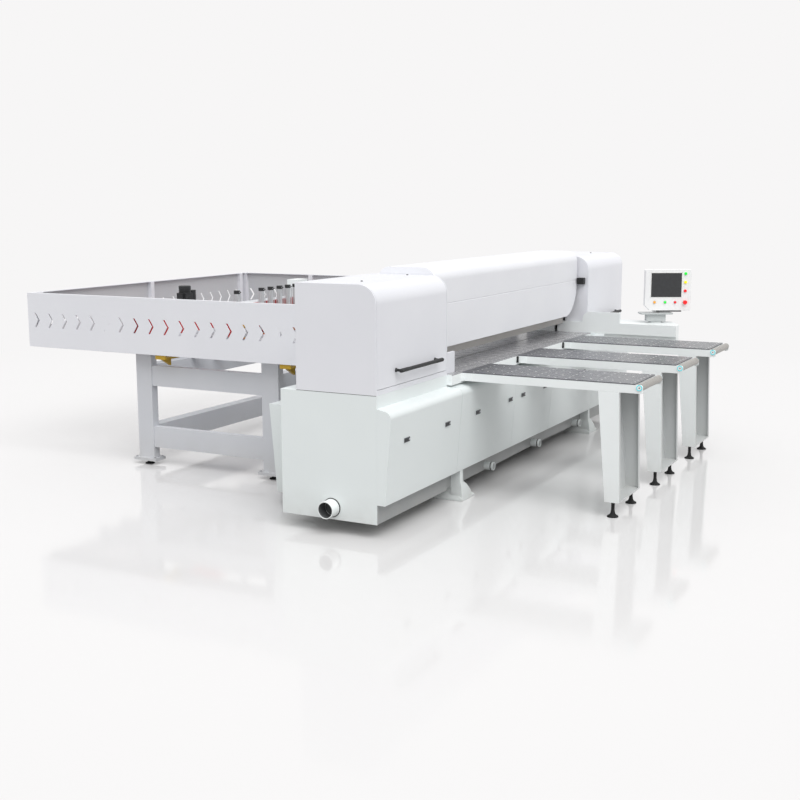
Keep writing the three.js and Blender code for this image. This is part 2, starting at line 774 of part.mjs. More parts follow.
function scoringHead() {
  return join(
    block(scoreX - scorePlateHalf, scoreX + scorePlateHalf, headBack - headPlate, headBack,
      scoreLow, scoreHeight + scoreHousingRadius),
    rod('y', scoreHousingRadius, caseFront, headBack - headPlate, scoreX, scoreHeight),
    beltCase(scoreX, scoreHeight - scoreMotorDrop, scoreHeight, scoreHousingRadius, caseFront,
      caseFront + caseDepth),
    finned(scoreX, scoreHeight - scoreMotorDrop, scoreMotorRadius, caseFront + caseDepth,
      headBack - wayDepth));
}

// A toothed disc on its shaft: each tooth has a steep face, a back and a round-bottomed gullet.
function blade(radius, thickness, teeth, depth, flange) {
  const gulletShares = [[0, 1], [0.06, 0], [0.5, 0.9]];
  const rim = along(teeth, (i) => gulletShares.map(([turn, rise]) => {
    const angle = 2 * Math.PI * (i + turn) / teeth;
    const reach = radius - depth * (1 - rise);
    return new THREE.Vector2(reach * Math.cos(angle), reach * Math.sin(angle));
  })).flat();
  const half = thickness / 2;
  return join(prismY(rim, -half, half),
    rod('y', flange, -half - flangeThickness, half + flangeThickness, 0, 0, fine),
    rod('y', nutRadius * flange / flangeRadius, -half - flangeThickness - nutLength, -half, 0, 0, 6),
    rod('y', shaftRadius, 0, caseStand - runningGap, 0, 0));
}

// Side fence with the kerf gap, and the console arm beside it.
const fenceX = halfSpan - fenceFace;
function sideFence() {
  const top = tableHeight + fenceHeight;
  const hump = prismX(outline([[-humpFront, top - overrun], [humpRear, top - overrun],
    [humpRear, top + humpHeight, humpRadius], [-humpFront, top + humpHeight, fenceBridge]]),
  fenceX, fenceX + fenceThickness);
  return cut(block(fenceX, fenceX + fenceThickness, -armFront, fenceRear, tableHeight, top).add(hump),
    block(fenceX - overrun, fenceX + fenceThickness + overrun, sawLine - fenceKerf,
      sawLine + fenceKerf, tableHeight - overrun, top - fenceBridge));
}
const armTop = tableHeight + fenceHeight;
function consoleArm() {
  const from = fenceX + fenceThickness;
  const to = from + armWidth;
  const bottom = armTop - armDepth;
  const plan = outline([[from, -armFront], [from + armEnd, -armFront, armRadius],
    [to, -armFront + armSlope, armRadius], [to, -armRear], [from, -armRear]]);
  const raised = from + armBracketInset;
  const bracket = raised + armBracketWidth;
  return join(prismZ(plan, bottom, armTop),
    block(raised, bracket, -armBracketReach, 0, bottom - armBracketThickness, bottom + overrun),
    rod('z', pendantBaseRadius, armTop - overrun, armTop + pendantBaseHeight, halfSpan + pendantInX,
      -pendantFront, fine));
}

// Pendant: drawn facing -Y about its swivel axis, then turned towards the operator.
const housingLow = pendantBaseHeight + runningGap + pendantPostHeight + pendantLift;
const housingLeft = pendantSlip - pendantWidth / 2;
const faceY = -trayDepth / 2;
const lampX = housingLeft + pendantWidth - lampInset;
function pendantHousing() {
  const top = housingLow + pendantHeight;
  const right = housingLeft + pendantWidth;
  const cornerRadius = pendantChamfer / 3;
  const front = prismY(outline([[housingLeft + pendantChamfer, housingLow], [right, housingLow, cornerRadius],
    [right, top, cornerRadius], [housingLeft, top, cornerRadius],
    [housingLeft, housingLow + pendantChamfer]], arcFacets / 2), faceY, faceY + pendantDepth);
  const pockets = buttonInsetShares.map((share) => rod('y', buttonRadius + runningGap,
    faceY - overrun, faceY + buttonPocket + overrun, housingLeft + share * pendantWidth,
    housingLow + buttonRise, coarse));
  const stopPocket = rod('y', stopStem + runningGap, faceY - overrun, faceY + buttonPocket + overrun,
    lampX, housingLow + buttonRise, coarse);
  const screen = block(housingLeft + screenMargin, housingLeft + screenMargin + screenWidth,
    faceY - overrun, faceY + screenDepth, top - screenTopMargin - screenHeight, top - screenTopMargin);
  const tray = prismZ(outline([[-trayLength / 2, faceY, cornerRadius], [trayLength / 2, faceY, cornerRadius],
    [trayLength / 2, -faceY, cornerRadius], [-trayLength / 2, -faceY, cornerRadius]], arcFacets / 2),
  housingLow - pendantLift - trayThickness, housingLow - pendantLift);
  const neck = block(-pendantPostRadius, pendantPostRadius, faceY / 2, faceY + pendantDepth,
    housingLow - pendantLift - overrun, housingLow + pendantLift);
  const lamps = lampShares.map((share) => rod('y', lampRadius, faceY - lampProud, faceY + overrun, lampX,
    housingLow + share * pendantHeight, coarse));
  return join(cut(front, pockets, stopPocket, screen), lamps, tray, neck,
    block(-swivelLength / 2, swivelLength / 2, -swivelDepth / 2, swivelDepth / 2,
      pendantBaseHeight + runningGap, housingLow - pendantLift));
}
function pendantScreen() {
  const top = housingLow + pendantHeight - screenTopMargin;
  return block(housingLeft + screenMargin + seatGap, housingLeft + screenMargin + screenWidth - seatGap,
    faceY + seatGap, faceY + screenDepth - seatGap, top - screenHeight + seatGap, top - seatGap);
}
const pushButton = (share) => rod('y', buttonRadius, faceY - buttonLength / 2, faceY + buttonSeat,
  housingLeft + share * pendantWidth, housingLow + buttonRise, coarse);
const stopButton = () => join(
  rod('y', stopRadius, faceY - stopCap - buttonPocket, faceY - buttonPocket, lampX, housingLow + buttonRise),
  rod('y', stopStem, faceY - buttonPocket - overrun, faceY + buttonSeat, lampX, housingLow + buttonRise, coarse));

// Air tables, drawn about their own centre line.
const trayTop = tableHeight - tableTopThickness;
const trayBottom = trayTop - tableTrayDepth;
const rollerY = -tableEnd - rollerBack;
const rollerZ = tableHeight - rollerRadius;
function tableFrame() {
  const half = tableWidth / 2;
  const cheek = (side) => {
    const outer = side * half;
    const inner = side * (half - cheekThickness);
    const [from, to] = rising(outer, inner);
    const plate = prismX(outline([[-tableEnd + overrun, trayBottom], [-tableEnd + overrun, trayTop],
      [-tableEnd - cheekReach, trayTop, cheekThickness], [-tableEnd - cheekReach, trayBottom, cheekThickness]]),
    from, to);
    const cap = rod('x', capRadius, ...rising(inner, outer + side * capProud), rollerY, rollerZ, medium);
    const bore = rod('x', axleRadius + axleClearance, ...rising(inner - side * overrun, inner + side * axleRun),
      rollerY, rollerZ, coarse);
    return join(plate, cap).subtract(bore);
  };
  return join(block(-half, half, -tableEnd, -bedOverhang, trayBottom, trayTop), cheek(-1), cheek(1),
    tableClamp(-half));
}
const tableTop = () => block(-tableWidth / 2, tableWidth / 2, -tableEnd, -bedOverhang, trayTop, tableHeight);
function tableRoller() {
  const half = tableWidth / 2 - cheekThickness - runningGap;
  const stub = half + axleRun - 2 * runningGap;
  return join(rod('x', rollerRadius, -half, half, 0, 0, fine),
    rod('x', axleRadius, -stub, stub, 0, 0, coarse));
}
function tableLeg() {
  const half = tableWidth / 2;
  const section = (wall, front) => outline([
    [-legTopFront + (front ? -overrun : wall), trayBottom - (wall ? legPlate : 0)],
    [-legTopFront + legTopDepth - wall, trayBottom - (wall ? legPlate : 0)],
    [-legFootFront + legFootDepth - wall, legBottom + (wall ? legPlate : 0)],
    [-legFootFront + (front ? -overrun : wall), legBottom + (wall ? legPlate : 0)]]);
  const y = -legFootFront + legFootDepth / 2;
  const shell = cut(prismX(section(0, false), -half, half),
    prismX(section(legWall, false), -half + legWall, half - legWall),
    prismX(section(legWall, true), -half + legWall + legLip, half - legWall - legLip));
  return join(shell, leveller(-levellerSpread, y, legBottom), leveller(levellerSpread, y, legBottom));
}
// Clamp that ties a table to the edge of the bed
function tableClamp(face) {
  const top = tableHeight - clampThickness;
  const front = -bedOverhang - clampDepth;
  return join(block(face - clampThickness, face + overrun, front - clampWidth, -bedOverhang,
    top - clampHeight, trayTop),
  block(face - clampThickness - clampDepth, face - overrun, front, -bedOverhang, top - clampHeight, top));
}

// A foot that screws up and down: a wide disc, a cone and a stem that ends in its seat.
function leveller(x, y, seat) {
  const cone = Math.min(levellerCone, seat - seatGap);
  return turned([[0, 0], [levellerRadius, 0], [levellerRadius, levellerDisc], [levellerStem, cone],
    [levellerStem, seat + overrun], [0, seat + overrun]]).translate([x, y, 0]);
}

// Rear frame: each side has two posts on plates, tied by rails under a feed beam with its rail,
// and carries the cross rails of one post row.
const guardInner = guardRear - guardPlate;
const feedStart = cabinetDepth;
const railTop = feedBeamLow + feedBeamHeight + feedRailSize;
const feedX = frameHalfWidth - feedBeamWidth / 2;
const railLevels = [[upperRailLow, upperRailHigh], [lowerRailLow, lowerRailHigh]];
function rearPost(side, front) {
  const outer = side * frameHalfWidth;
  const inner = outer - side * postAcross;
  const lip = side * baseOverhang;
  return join(block(outer, inner, front, front + postSize, rearFloorGap, feedBeamLow + overrun),
    block(outer + lip, inner - lip, front - baseOverhang, front + postSize + baseOverhang,
      rearFloorGap, rearFloorGap + basePlate),
    leveller((outer + inner) / 2, front + postSize / 2, rearFloorGap));
}
function rearFrame(side, crossRow) {
  const inset = (postSize - frameRailWidth) / 2;
  const outer = side * (frameHalfWidth - (postAcross - sideRailWidth) / 2);
  const inner = side * (frameHalfWidth - postAcross);
  const x = side * feedX;
  const beamTopZ = feedBeamLow + feedBeamHeight;
  return join(rearPost(side, frontPost), rearPost(side, rearPostY),
    railLevels.map(([low, high]) => block(outer, outer - side * sideRailWidth,
      frontPost + postSize - overrun, rearPostY + overrun, low, high)),
    railLevels.map(([low, high]) => block(inner + side * overrun, -inner, crossRow + inset,
      crossRow + postSize - inset, low, high)),
    block(x - feedBeamWidth / 2, x + feedBeamWidth / 2, feedStart, guardInner, feedBeamLow, beamTopZ),
    block(x - feedRailSize / 2, x + feedRailSize / 2, feedStart, guardInner - guardPostDepth,
      beamTopZ - overrun, railTop), guardBrackets(side));
}
// Support slats lie on the upper cross rails and are tied at their rear ends.
function supportSlats() {
  const end = guardInner - slatEndGap;
  const pitch = 2 * slatHalfSpread / (slatCount - 1);
  const slats = along(slatCount, (i) => {
    const x = -slatHalfSpread + i * pitch;
    return block(x - slatWidth / 2, x + slatWidth / 2, feedStart, end, upperRailHigh, tableHeight);
  });
  const reach = slatHalfSpread + slatWidth / 2;
  return join(slats, block(-reach, reach, end - slatTie, end, (upperRailHigh + tableHeight) / 2, tableHeight));
}

// Guard panels with a row of chevron openings, a folded top edge and posts inside.
function chevron(mid, vertex) {
  const half = chevronHeight / 2;
  const tip = mid + vertex * chevronReach / 2;
  const tail = mid - vertex * chevronReach / 2;
  const back = vertex * chevronWidth;
  return outline([[tip, chevronMid], [tail, chevronMid + half], [tail - back, chevronMid + half],
    [tip - back, chevronMid], [tail - back, chevronMid - half], [tail, chevronMid - half]]);
}
const guardFront = feedStart;
function guardSide(side) {
  const outer = side * guardHalfWidth;
  const inner = outer - side * guardPlate;
  const end = guardRear - guardPlate;
  const count = Math.floor((guardRear - 2 * chevronMargin - guardFront) / chevronPitch) + 1;
  const slots = along(count, (i) => prismX(chevron(guardRear - chevronMargin - i * chevronPitch, -1),
    Math.min(outer, inner) - overrun, Math.max(outer, inner) + overrun));
  const postCount = Math.floor((end - guardFront) / sidePostPitch) + 1;
  const posts = along(postCount, (i) => {
    const y = end - i * sidePostPitch;
    return block(outer - side * seatGap, inner - side * guardPostDepth, y - guardPostWidth, y, tableHeight,
      guardTop - guardPlate / 2);
  });
  return join(cut(block(outer, inner, guardFront, end, cabinetTop, guardTop), slots),
    block(outer, inner - side * guardFlange, guardFront, end, guardTop - guardPlate, guardTop), posts);
}
function guardBack() {
  const count = Math.floor((2 * guardHalfWidth - 2 * chevronMargin) / chevronPitch) + 1;
  const start = -(count - 1) * chevronPitch / 2;
  const slots = along(count, (i) => prismY(chevron(start + i * chevronPitch, 1),
    guardInner - overrun, guardRear + overrun));
  const posts = [-rearPostPitch, 0, rearPostPitch].map((x) => block(x - guardPostWidth / 2,
    x + guardPostWidth / 2, guardInner - guardPostDepth, guardRear - seatGap,
    feedBeamLow + feedBeamHeight, guardTop - guardPlate / 2));
  const inner = guardHalfWidth - guardPlate - guardPostDepth;
  return join(cut(block(-guardHalfWidth, guardHalfWidth, guardInner, guardRear, cabinetTop, guardTop), slots),
    block(-inner, inner, guardInner - guardFlange, guardRear, guardTop - guardPlate, guardTop), posts);
}
// Brackets that carry a side panel from under the feed beam
function guardBrackets(side) {
  const skin = side * (guardHalfWidth - guardPlate);
  const inner = side * (frameHalfWidth - feedBeamWidth);
  const post = side * frameHalfWidth;
  const low = feedBeamLow - bracketPlate;
  return bracketPlaces.flatMap((y) => {
    const [from, to] = [y - bracketWidth / 2, y + bracketWidth / 2];
    return [
      block(skin, inner, from, to, low, feedBeamLow),
      block(post, inner, from, to, low, feedBeamLow + overrun),
      block(skin, skin - side * bracketPlate, from, to, low, tableHeight),
      prismY(outline([[skin, low + bracketPlate / 2], [post, low + bracketPlate / 2],
        [post, low - bracketDrop]]), y - bracketPlate, y + bracketPlate)];
  });
}

// Pusher: a box beam on two trucks, with a row of air grippers reaching towards the saw.
const gripperX = gripperShares.map((share) => share * halfSpan);
const beamY = pusherRest + pusherBack;
function pusherBeam() {
  const reach = feedX + truckWidth / 2;
  const trucks = [-feedX, feedX].map((x) => block(x - truckWidth / 2, x + truckWidth / 2,
    beamY + pusherDepth / 2 - truckLength / 2, beamY + pusherDepth / 2 + truckLength / 2,
    railTop - feedRailSize + 2 * runningGap, pusherLow + overrun)
    .subtract(block(x - feedRailSize / 2 - runningGap, x + feedRailSize / 2 + runningGap,
      beamY - truckLength, beamY + pusherDepth + truckLength, feedBeamLow, railTop + runningGap)));
  const junction = junctionShare * halfSpan;
  return join(block(-reach, reach, beamY, beamY + pusherDepth, pusherLow, pusherLow + pusherHeight), trucks,
    block(junction - junctionLength / 2, junction + junctionLength / 2, beamY + pusherDepth / 4,
      beamY + pusherDepth / 4 + junctionDepth, pusherLow + pusherHeight - overrun, junctionTop),
    pusherMotor());
}
// Drive of the pusher: a gear box with an upright motor, and a smaller one beside it
function pusherMotor() {
  const x = pusherMotorShare * halfSpan;
  const y = beamY + pusherDepth / 2;
  const low = pusherLow + pusherHeight;
  const half = pusherMotorSide / 2;
  const gear = gearBoxSide / 2;
  const next = x + half + gear;
  return join(block(x - half, x + half, y - half, y + half, low - overrun, low + gearBoxHeight),
    rod('z', half, low, pusherMotorTop, x, y),
    block(x, next + gear, y - gear, y + gear, low - overrun, low + gearBoxHeight / 2),
    rod('z', gear - seatGap, low, pusherMotorTop - gear, next, y, coarse));
}
// Each gripper: a lower jaw, a back plate, a top plate and an air cylinder over the line
function gripperRow() {
  const half = gripperWidth / 2;
  const back = beamY - gripperRail;
  const jawLow = tableHeight + jawLift;
  const top = gripperPlateHeight + gripperPlate;
  const grippers = gripperX.map((x) => join(
    block(x - half, x + half, pusherRest - jawReach, back, jawLow, jawLow + jawThickness),
    block(x - half, x + half, back - gripperBack, back + overrun, jawLow, top),
    block(x - half, x + half, pusherRest - half, back, gripperPlateHeight, top),
    rod('z', airRadius, top - overrun, airTop, x, pusherRest, coarse),
    rod('z', airRadius + airFlange, airTop - airCap, airTop, x, pusherRest, coarse),
    block(x - airRadius, x + airRadius, pusherRest - airRadius, pusherRest + airRadius, top, top + airCap))
    .subtract(rod('z', pistonRadius + runningGap, gripperPlateHeight - overrun, airTop - airCap,
      x, pusherRest, coarse)));
  return join(block(gripperX[0] - half, gripperX[gripperX.length - 1] + half, back, beamY,
    pusherLow, pusherLow + pusherHeight), grippers);
}
function gripperJaw() {
  const half = gripperWidth / 2;
  return join(block(-half, half, -jawReach, pistonRadius * 2, 0, jawFinger),
    rod('z', pistonRadius, jawFinger / 2, pistonReach, 0, 0, coarse));
}

// Assembly, in nested groups placed where each unit stands
const machine = new THREE.Group();
const add = (...meshes) => machine.add(...meshes);

add(piece('near_cabinet', cabinet(-1), bodyWhite), piece('far_cabinet', cabinet(1), bodyWhite));
add(piece('base_frame', baseFrame(), bodyWhite));
add(piece('bed_front', bedFront(), topGrey), piece('bed_rear', bedRear(), topGrey));
add(piece('near_hood', hood(-1), hoodWhite), piece('far_hood', hood(1), hoodWhite));
add(piece('near_door', hoodDoor(-1), hoodWhite), piece('far_door', hoodDoor(1), hoodWhite));
add(piece('near_door_handle', doorHandle(-1), darkGrey), piece('far_door_handle', doorHandle(1), darkGrey));
along(seamX.length + 1, (i) => add(piece(`front_cover_${i + 1}`, frontCover(i), bodyWhite)));
add(piece('beam_cover', beamCover(), hoodWhite), piece('front_presser', frontPresser(), frameGrey));
add(piece('rear_presser', rearPresser(), frameGrey));
add(piece('near_beam_lift', beamLift(-1), steel), piece('far_beam_lift', beamLift(1), steel));

const saw = new THREE.Group();
saw.add(piece('saw_carriage', sawCarriage(), darkGrey), piece('saw_head', sawHead(), darkGrey));
saw.add(piece('scoring_head', scoringHead(), darkGrey));
saw.add(piece('main_blade', blade(mainBladeRadius, mainBladeThickness, mainTeeth, toothDepth, flangeRadius),
  steel, [homeX, sawLine, spindleHeight]));
saw.add(piece('scoring_blade', blade(scoreBladeRadius, scoreBladeThickness, scoreTeeth, scoreToothDepth,
  scoreHousingRadius), steel, [scoreX, sawLine, scoreHeight]));
add(saw);

add(piece('side_fence', sideFence(), bodyWhite), piece('console_arm', consoleArm(), bodyWhite));
const pendant = new THREE.Group();
pendant.add(piece('pendant_housing', pendantHousing(), bodyWhite));
pendant.add(piece('pendant_screen', pendantScreen(), screenDark));
buttonInsetShares.forEach((share, i) => pendant.add(piece(`push_button_${i + 1}`, pushButton(share), gripRed)));
pendant.add(piece('stop_button', stopButton(), gripRed));
pendant.position.set(halfSpan + pendantInX, -pendantFront, armTop);
pendant.rotation.z = -THREE.MathUtils.degToRad(pendantTurn);
add(pendant);

const tableX = along(tableCount, (i) => tableMiddle + (i - (tableCount - 1) / 2) * tablePitch);
tableX.forEach((x, i) => {
  const table = new THREE.Group();
  table.add(piece(`table_${i + 1}_frame`, tableFrame(), bodyWhite));
  table.add(piece(`table_${i + 1}_top`, tableTop(), topGrey));
  table.add(piece(`table_${i + 1}_leg`, tableLeg(), bodyWhite));
  table.add(piece(`table_${i + 1}_roller`, tableRoller(), rollerGrey, [0, rollerY, rollerZ]));
  table.position.x = x;
  add(table);
});

const rear = new THREE.Group();
rear.add(piece('rear_frame_near', rearFrame(-1, rearPostY), frameGrey));
rear.add(piece('rear_frame_far', rearFrame(1, frontPost), frameGrey));
rear.add(piece('support_slats', supportSlats(), frameGrey));
rear.add(piece('rear_guard_near', guardSide(-1), hoodWhite), piece('rear_guard_far', guardSide(1), hoodWhite));
rear.add(piece('rear_guard_back', guardBack(), hoodWhite));
rear.add(piece('pusher_beam', pusherBeam(), frameGrey), piece('gripper_row', gripperRow(), gripRed));
const jawHeight = tableHeight + jawLift + jawThickness + jawOpen;
gripperX.forEach((x, i) => rear.add(piece(`gripper_jaw_${i + 1}`, gripperJaw(), darkGrey,
  [x, pusherRest, jawHeight])));
add(rear);

// The origin stands on the floor under the middle of the whole machine.
const frontReach = tableEnd + rollerBack + rollerRadius;
machine.position.set(outletReach / 2, (frontReach - guardRear) / 2, 0);
machine.updateMatrixWorld(true);

export default machine;
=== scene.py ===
# %% [markdown]
# # An acrylic cutting saw, dressed for its portrait
# The machine is a beam panel saw: two hooded end cabinets carry a long clamping beam over a
# slotted bed, three air tables stand in front, and a guarded feed frame pushes the sheets from
# behind. The solids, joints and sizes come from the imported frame. This lesson gives each solid
# its soft edges and its finish, then adds the small hardware that a drawing leaves out.

# %% Load the frame
import json
import math

import bmesh
import bpy
from mathutils import Matrix, Vector


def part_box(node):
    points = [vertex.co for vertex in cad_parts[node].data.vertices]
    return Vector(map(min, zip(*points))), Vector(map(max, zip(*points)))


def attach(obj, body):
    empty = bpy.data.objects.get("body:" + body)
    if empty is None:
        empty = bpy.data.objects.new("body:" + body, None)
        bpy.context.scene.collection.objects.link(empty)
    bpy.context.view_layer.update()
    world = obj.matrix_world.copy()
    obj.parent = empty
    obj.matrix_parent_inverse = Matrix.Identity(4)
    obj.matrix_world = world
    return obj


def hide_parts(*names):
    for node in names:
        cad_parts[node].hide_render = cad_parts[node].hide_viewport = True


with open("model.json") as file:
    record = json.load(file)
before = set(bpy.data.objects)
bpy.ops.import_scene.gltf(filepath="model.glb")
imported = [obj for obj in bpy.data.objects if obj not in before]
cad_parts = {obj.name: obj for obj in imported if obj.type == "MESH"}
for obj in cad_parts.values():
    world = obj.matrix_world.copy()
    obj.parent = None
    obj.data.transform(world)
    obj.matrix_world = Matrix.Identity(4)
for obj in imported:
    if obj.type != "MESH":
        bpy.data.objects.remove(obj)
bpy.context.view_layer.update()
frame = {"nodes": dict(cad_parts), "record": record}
bodies = frame["record"]["behaviour"]["bodies"]
body_of_node = {node: body for body, nodes in bodies.items() for node in nodes}
slot_of_node = {row["node"]: row["material_slot"] for row in frame["record"]["subparts"]}

# %% [markdown]
# ## The camera
# The picture was taken from the near end, a little above head height. The camera's place and lens
# were worked out from the edges of the bed, the hoods and the beam, which all run along the
# machine's axes. So the numbers here are a viewpoint in the machine's own frame: a place, a
# heading, a tilt and a lens.

# %% Stand the camera
scene = bpy.context.scene
eye = Vector((-9.020, -4.865, 2.1783))
heading, tilt, roll = (math.radians(angle) for angle in (27.738, 9.608, -0.137))
forward = Vector((math.cos(heading) * math.cos(tilt), math.sin(heading) * math.cos(tilt),
                  -math.sin(tilt)))
right = forward.cross(Vector((0, 0, 1))).normalized()
up = right.cross(forward)
level_right = right * math.cos(roll) + up * math.sin(roll)
level_up = up * math.cos(roll) - right * math.sin(roll)
turn = Matrix((level_right, level_up, -forward)).transposed().to_4x4()
lens = bpy.data.cameras.new("portrait_lens")
lens.sensor_width = 36
lens.lens = 53.13
camera = bpy.data.objects.new("portrait_camera", lens)
camera.matrix_world = Matrix.Translation(eye) @ turn
scene.collection.objects.link(camera)
scene.camera = camera
print("lens", lens.lens, "mm, eye", tuple(eye))

# %% [markdown]
# ## Two rulers
# A fitter measures this machine from the cabinets' front face, on its middle line, and the pendant
# from its own swivel, which stands turned towards the operator. These two helpers turn such
# millimetres into metres in the frame. The places that several cells share are named here too, in
# the same millimetres.

# %% Rulers of the machine and of the pendant
middle_line, front_face = 0.045, -1.282
swivel = Vector((1.805, -1.862, 1.050))
swivel_turn = Matrix.Rotation(math.radians(-62.3), 3, "Z")
bed_end, cabinet_end, table_top = 1528, 2575, 950
table_middles = (-1102, -41, 1020)
foot_middles = [share * bed_end for share in (-0.861, 1.011)]
stub_middles = [share * bed_end for share in (-0.509, 0.141, 0.816)]
latch_middles = [[share * cabinet_end for share in pair] for pair in (
    (-0.905, -0.663), (-0.461, -0.217), (-0.113, 0.078), (0.217, 0.461), (0.663, 0.905))]
post_x, post_rows = 1439, (1555, 2807)
cylinder_y = 2666
up_way = (0, 0, 1)


def at(x, y, z):
    return Vector((x / 1000 + middle_line, y / 1000 + front_face, z / 1000))


def on_pendant(x, y, z):
    return swivel + swivel_turn @ Vector((x, y, z)) / 1000


print("near table's middle", tuple(at(table_middles[0], -680, table_top)))

# %% [markdown]
# ## Colours and shader helpers
# Paint chips are read as screen values from 0 to 255, while a shader wants linear light, so one
# helper converts them. A second helper wires a small node tree: it starts from a Principled shader
# and lets each finish add its own noise, speckle or brushing on Object coordinates, which stay put
# on the piece when a door swings or a carriage slides.

# %% Colour and node helpers
def linear(red, green, blue):
    def channel(value):
        value /= 255
        return value / 12.92 if value <= 0.04045 else ((value + 0.055) / 1.055) ** 2.4
    return (channel(red), channel(green), channel(blue), 1)


class Finish:
    """A material under construction: a Principled shader fed by nodes on Object coordinates."""

    # The colour mixer's sockets share their names, so they are reached by their places.
    factor_in, first_colour, second_colour, colour_out = 0, 6, 7, 2

    def __init__(self, name, colour, roughness, metallic=0.0):
        self.material = bpy.data.materials.new(name)
        self.material.use_nodes = True
        self.nodes = self.material.node_tree.nodes
        self.links = self.material.node_tree.links
        self.shader = self.nodes["Principled BSDF"]
        self.place = self.nodes.new("ShaderNodeTexCoord").outputs["Object"]
        self.colour = linear(*colour)
        self.shader.inputs["Base Color"].default_value = self.colour
        self.shader.inputs["Roughness"].default_value = roughness
        self.shader.inputs["Metallic"].default_value = metallic
        self.height = None
        self.tint = None

    def node(self, kind, **settings):
        made = self.nodes.new(kind)
        for key, value in settings.items():
            setattr(made, key, value)
        return made

    def stretched(self, scale):
        mapping = self.node("ShaderNodeMapping")
        mapping.inputs["Scale"].default_value = scale
        self.links.new(self.place, mapping.inputs["Vector"])
        return mapping.outputs["Vector"]

    def noise(self, scale, detail, stretch=None):
        made = self.node("ShaderNodeTexNoise")
        made.inputs["Scale"].default_value = scale
        made.inputs["Detail"].default_value = detail
        self.links.new(self.stretched(stretch) if stretch else self.place, made.inputs["Vector"])
        return made.outputs["Fac"]

    def ridges(self, scale, direction):
        made = self.node("ShaderNodeTexWave", bands_direction=direction)
        made.inputs["Scale"].default_value = scale
        self.links.new(self.place, made.inputs["Vector"])
        return made.outputs["Fac"]

    def band(self, value, low, high, to_low, to_high):
        made = self.node("ShaderNodeMapRange", clamp=True)
        for key, number in (("From Min", low), ("From Max", high),
                            ("To Min", to_low), ("To Max", to_high)):
            made.inputs[key].default_value = number
        self.links.new(value, made.inputs["Value"])
        return made.outputs["Result"]

    def mix_colour(self, factor, colour):
        made = self.node("ShaderNodeMix", data_type="RGBA")
        made.inputs[self.first_colour].default_value = self.colour
        if self.tint is not None:
            self.links.new(self.tint, made.inputs[self.first_colour])
        made.inputs[self.second_colour].default_value = linear(*colour)
        self.links.new(factor, made.inputs[self.factor_in])
        self.tint = made.outputs[self.colour_out]
        self.links.new(self.tint, self.shader.inputs["Base Color"])

    def mottle(self, noise, start, full, amount, shade):
        """Blends a second colour in where the noise rises from start to full."""
        self.mix_colour(self.band(noise, start, full, 0.0, amount), shade)

    def vary_gloss(self, noise, smoothest, roughest):
        roughness = self.band(noise, 0.3, 0.7, smoothest, roughest)
        self.links.new(roughness, self.shader.inputs["Roughness"])

    def bump(self, value, distance, strength):
        made = self.node("ShaderNodeBump")
        made.inputs["Distance"].default_value = distance
        made.inputs["Strength"].default_value = strength
        self.links.new(value, made.inputs["Height"])
        if self.height is not None:
            self.links.new(self.height, made.inputs["Normal"])
        self.height = made.outputs["Normal"]
        self.links.new(self.height, self.shader.inputs["Normal"])


print("cabinet white in linear light", [round(v, 3) for v in linear(233, 239, 239)])

# %% [markdown]
# ## Powder-coated sheet metal
# Powder coat is smooth but never flat: it has a fine orange-peel texture, its gloss drifts a
# little over a large panel, and dust greys it near the floor. The hoods' white leans towards
# violet and the cabinets' towards green, so each is its own finish made by one function.

# %% Powder coat
dust_colour = (186, 184, 178)


def powder_coat(name, colour, shade, roughness=0.42):
    coat = Finish(name, colour, roughness)
    coat.mottle(coat.noise(1.7, 4), 0.35, 0.75, 0.5, shade)
    place = coat.node("ShaderNodeSeparateXYZ")
    coat.links.new(coat.place, place.inputs["Vector"])
    near_floor = coat.band(place.outputs["Z"], 0.02, 0.30, 0.4, 0.0)
    patches = coat.band(coat.noise(9, 5), 0.3, 0.7, 0.3, 1.0)
    dust = coat.node("ShaderNodeMath", operation="MULTIPLY")
    coat.links.new(near_floor, dust.inputs[0])
    coat.links.new(patches, dust.inputs[1])
    coat.mix_colour(dust.outputs["Value"], dust_colour)
    coat.vary_gloss(coat.noise(6, 3), roughness - 0.06, roughness + 0.08)
    orange_peel = coat.noise(420, 2)
    coat.bump(orange_peel, 0.00012, 0.5)
    coat.shader.inputs["Coat Weight"].default_value = 0.12
    coat.shader.inputs["Coat Roughness"].default_value = 0.25
    return coat.material


cabinet_white = powder_coat("cabinet_white", (233, 239, 239), (226, 232, 232))
hood_white = powder_coat("hood_white", (233, 234, 239), (226, 227, 233))
table_white = powder_coat("table_white", (243, 247, 247), (237, 241, 241))
beam_white = powder_coat("beam_white", (239, 240, 244), (233, 234, 239))
swivel_grey = powder_coat("swivel_grey", (190, 194, 194), (176, 180, 181))
# The sill's grey is painted shade: the sill stands in the dark strip under the front covers.
sill_painted_shade = powder_coat("sill_painted_shade", (156, 159, 160), (146, 149, 151))
# A darker grey for the inside of the table legs' channels: painted shade.
leg_inside_painted_shade = powder_coat("leg_inside_painted_shade", (203, 206, 206), (187, 190, 191))
# A darker grey for the rear guards' inner faces: painted shade.
guard_inside_painted_shade = powder_coat("guard_inside_painted_shade", (200, 201, 204), (186, 188, 192))
presser_grey = powder_coat("presser_grey", (200, 196, 191), (188, 184, 180))
frame_grey = powder_coat("frame_grey", (212, 214, 219), (202, 205, 211), 0.45)
bracket_yellow = powder_coat("bracket_yellow", (184, 148, 24), (166, 132, 20), 0.4)
gripper_red = powder_coat("gripper_red", (196, 30, 30), (172, 24, 26), 0.38)
machine_black = powder_coat("machine_black", (40, 41, 43), (32, 33, 35), 0.5)
print("powder coats ready")

# %% [markdown]
# ## Bed plates, bare metal and plastics
# The bed and the air tables are dark, slightly glossy plates scuffed along the feed direction by
# the sheets that slide over them. Ground steel is brushed, aluminium is matt with fine turning
# marks, and the plastics are plain colours with a soft sheen and a faint moulded grain. The
# rollers are knurled, so two sets of fine ridges cross on their sleeves.

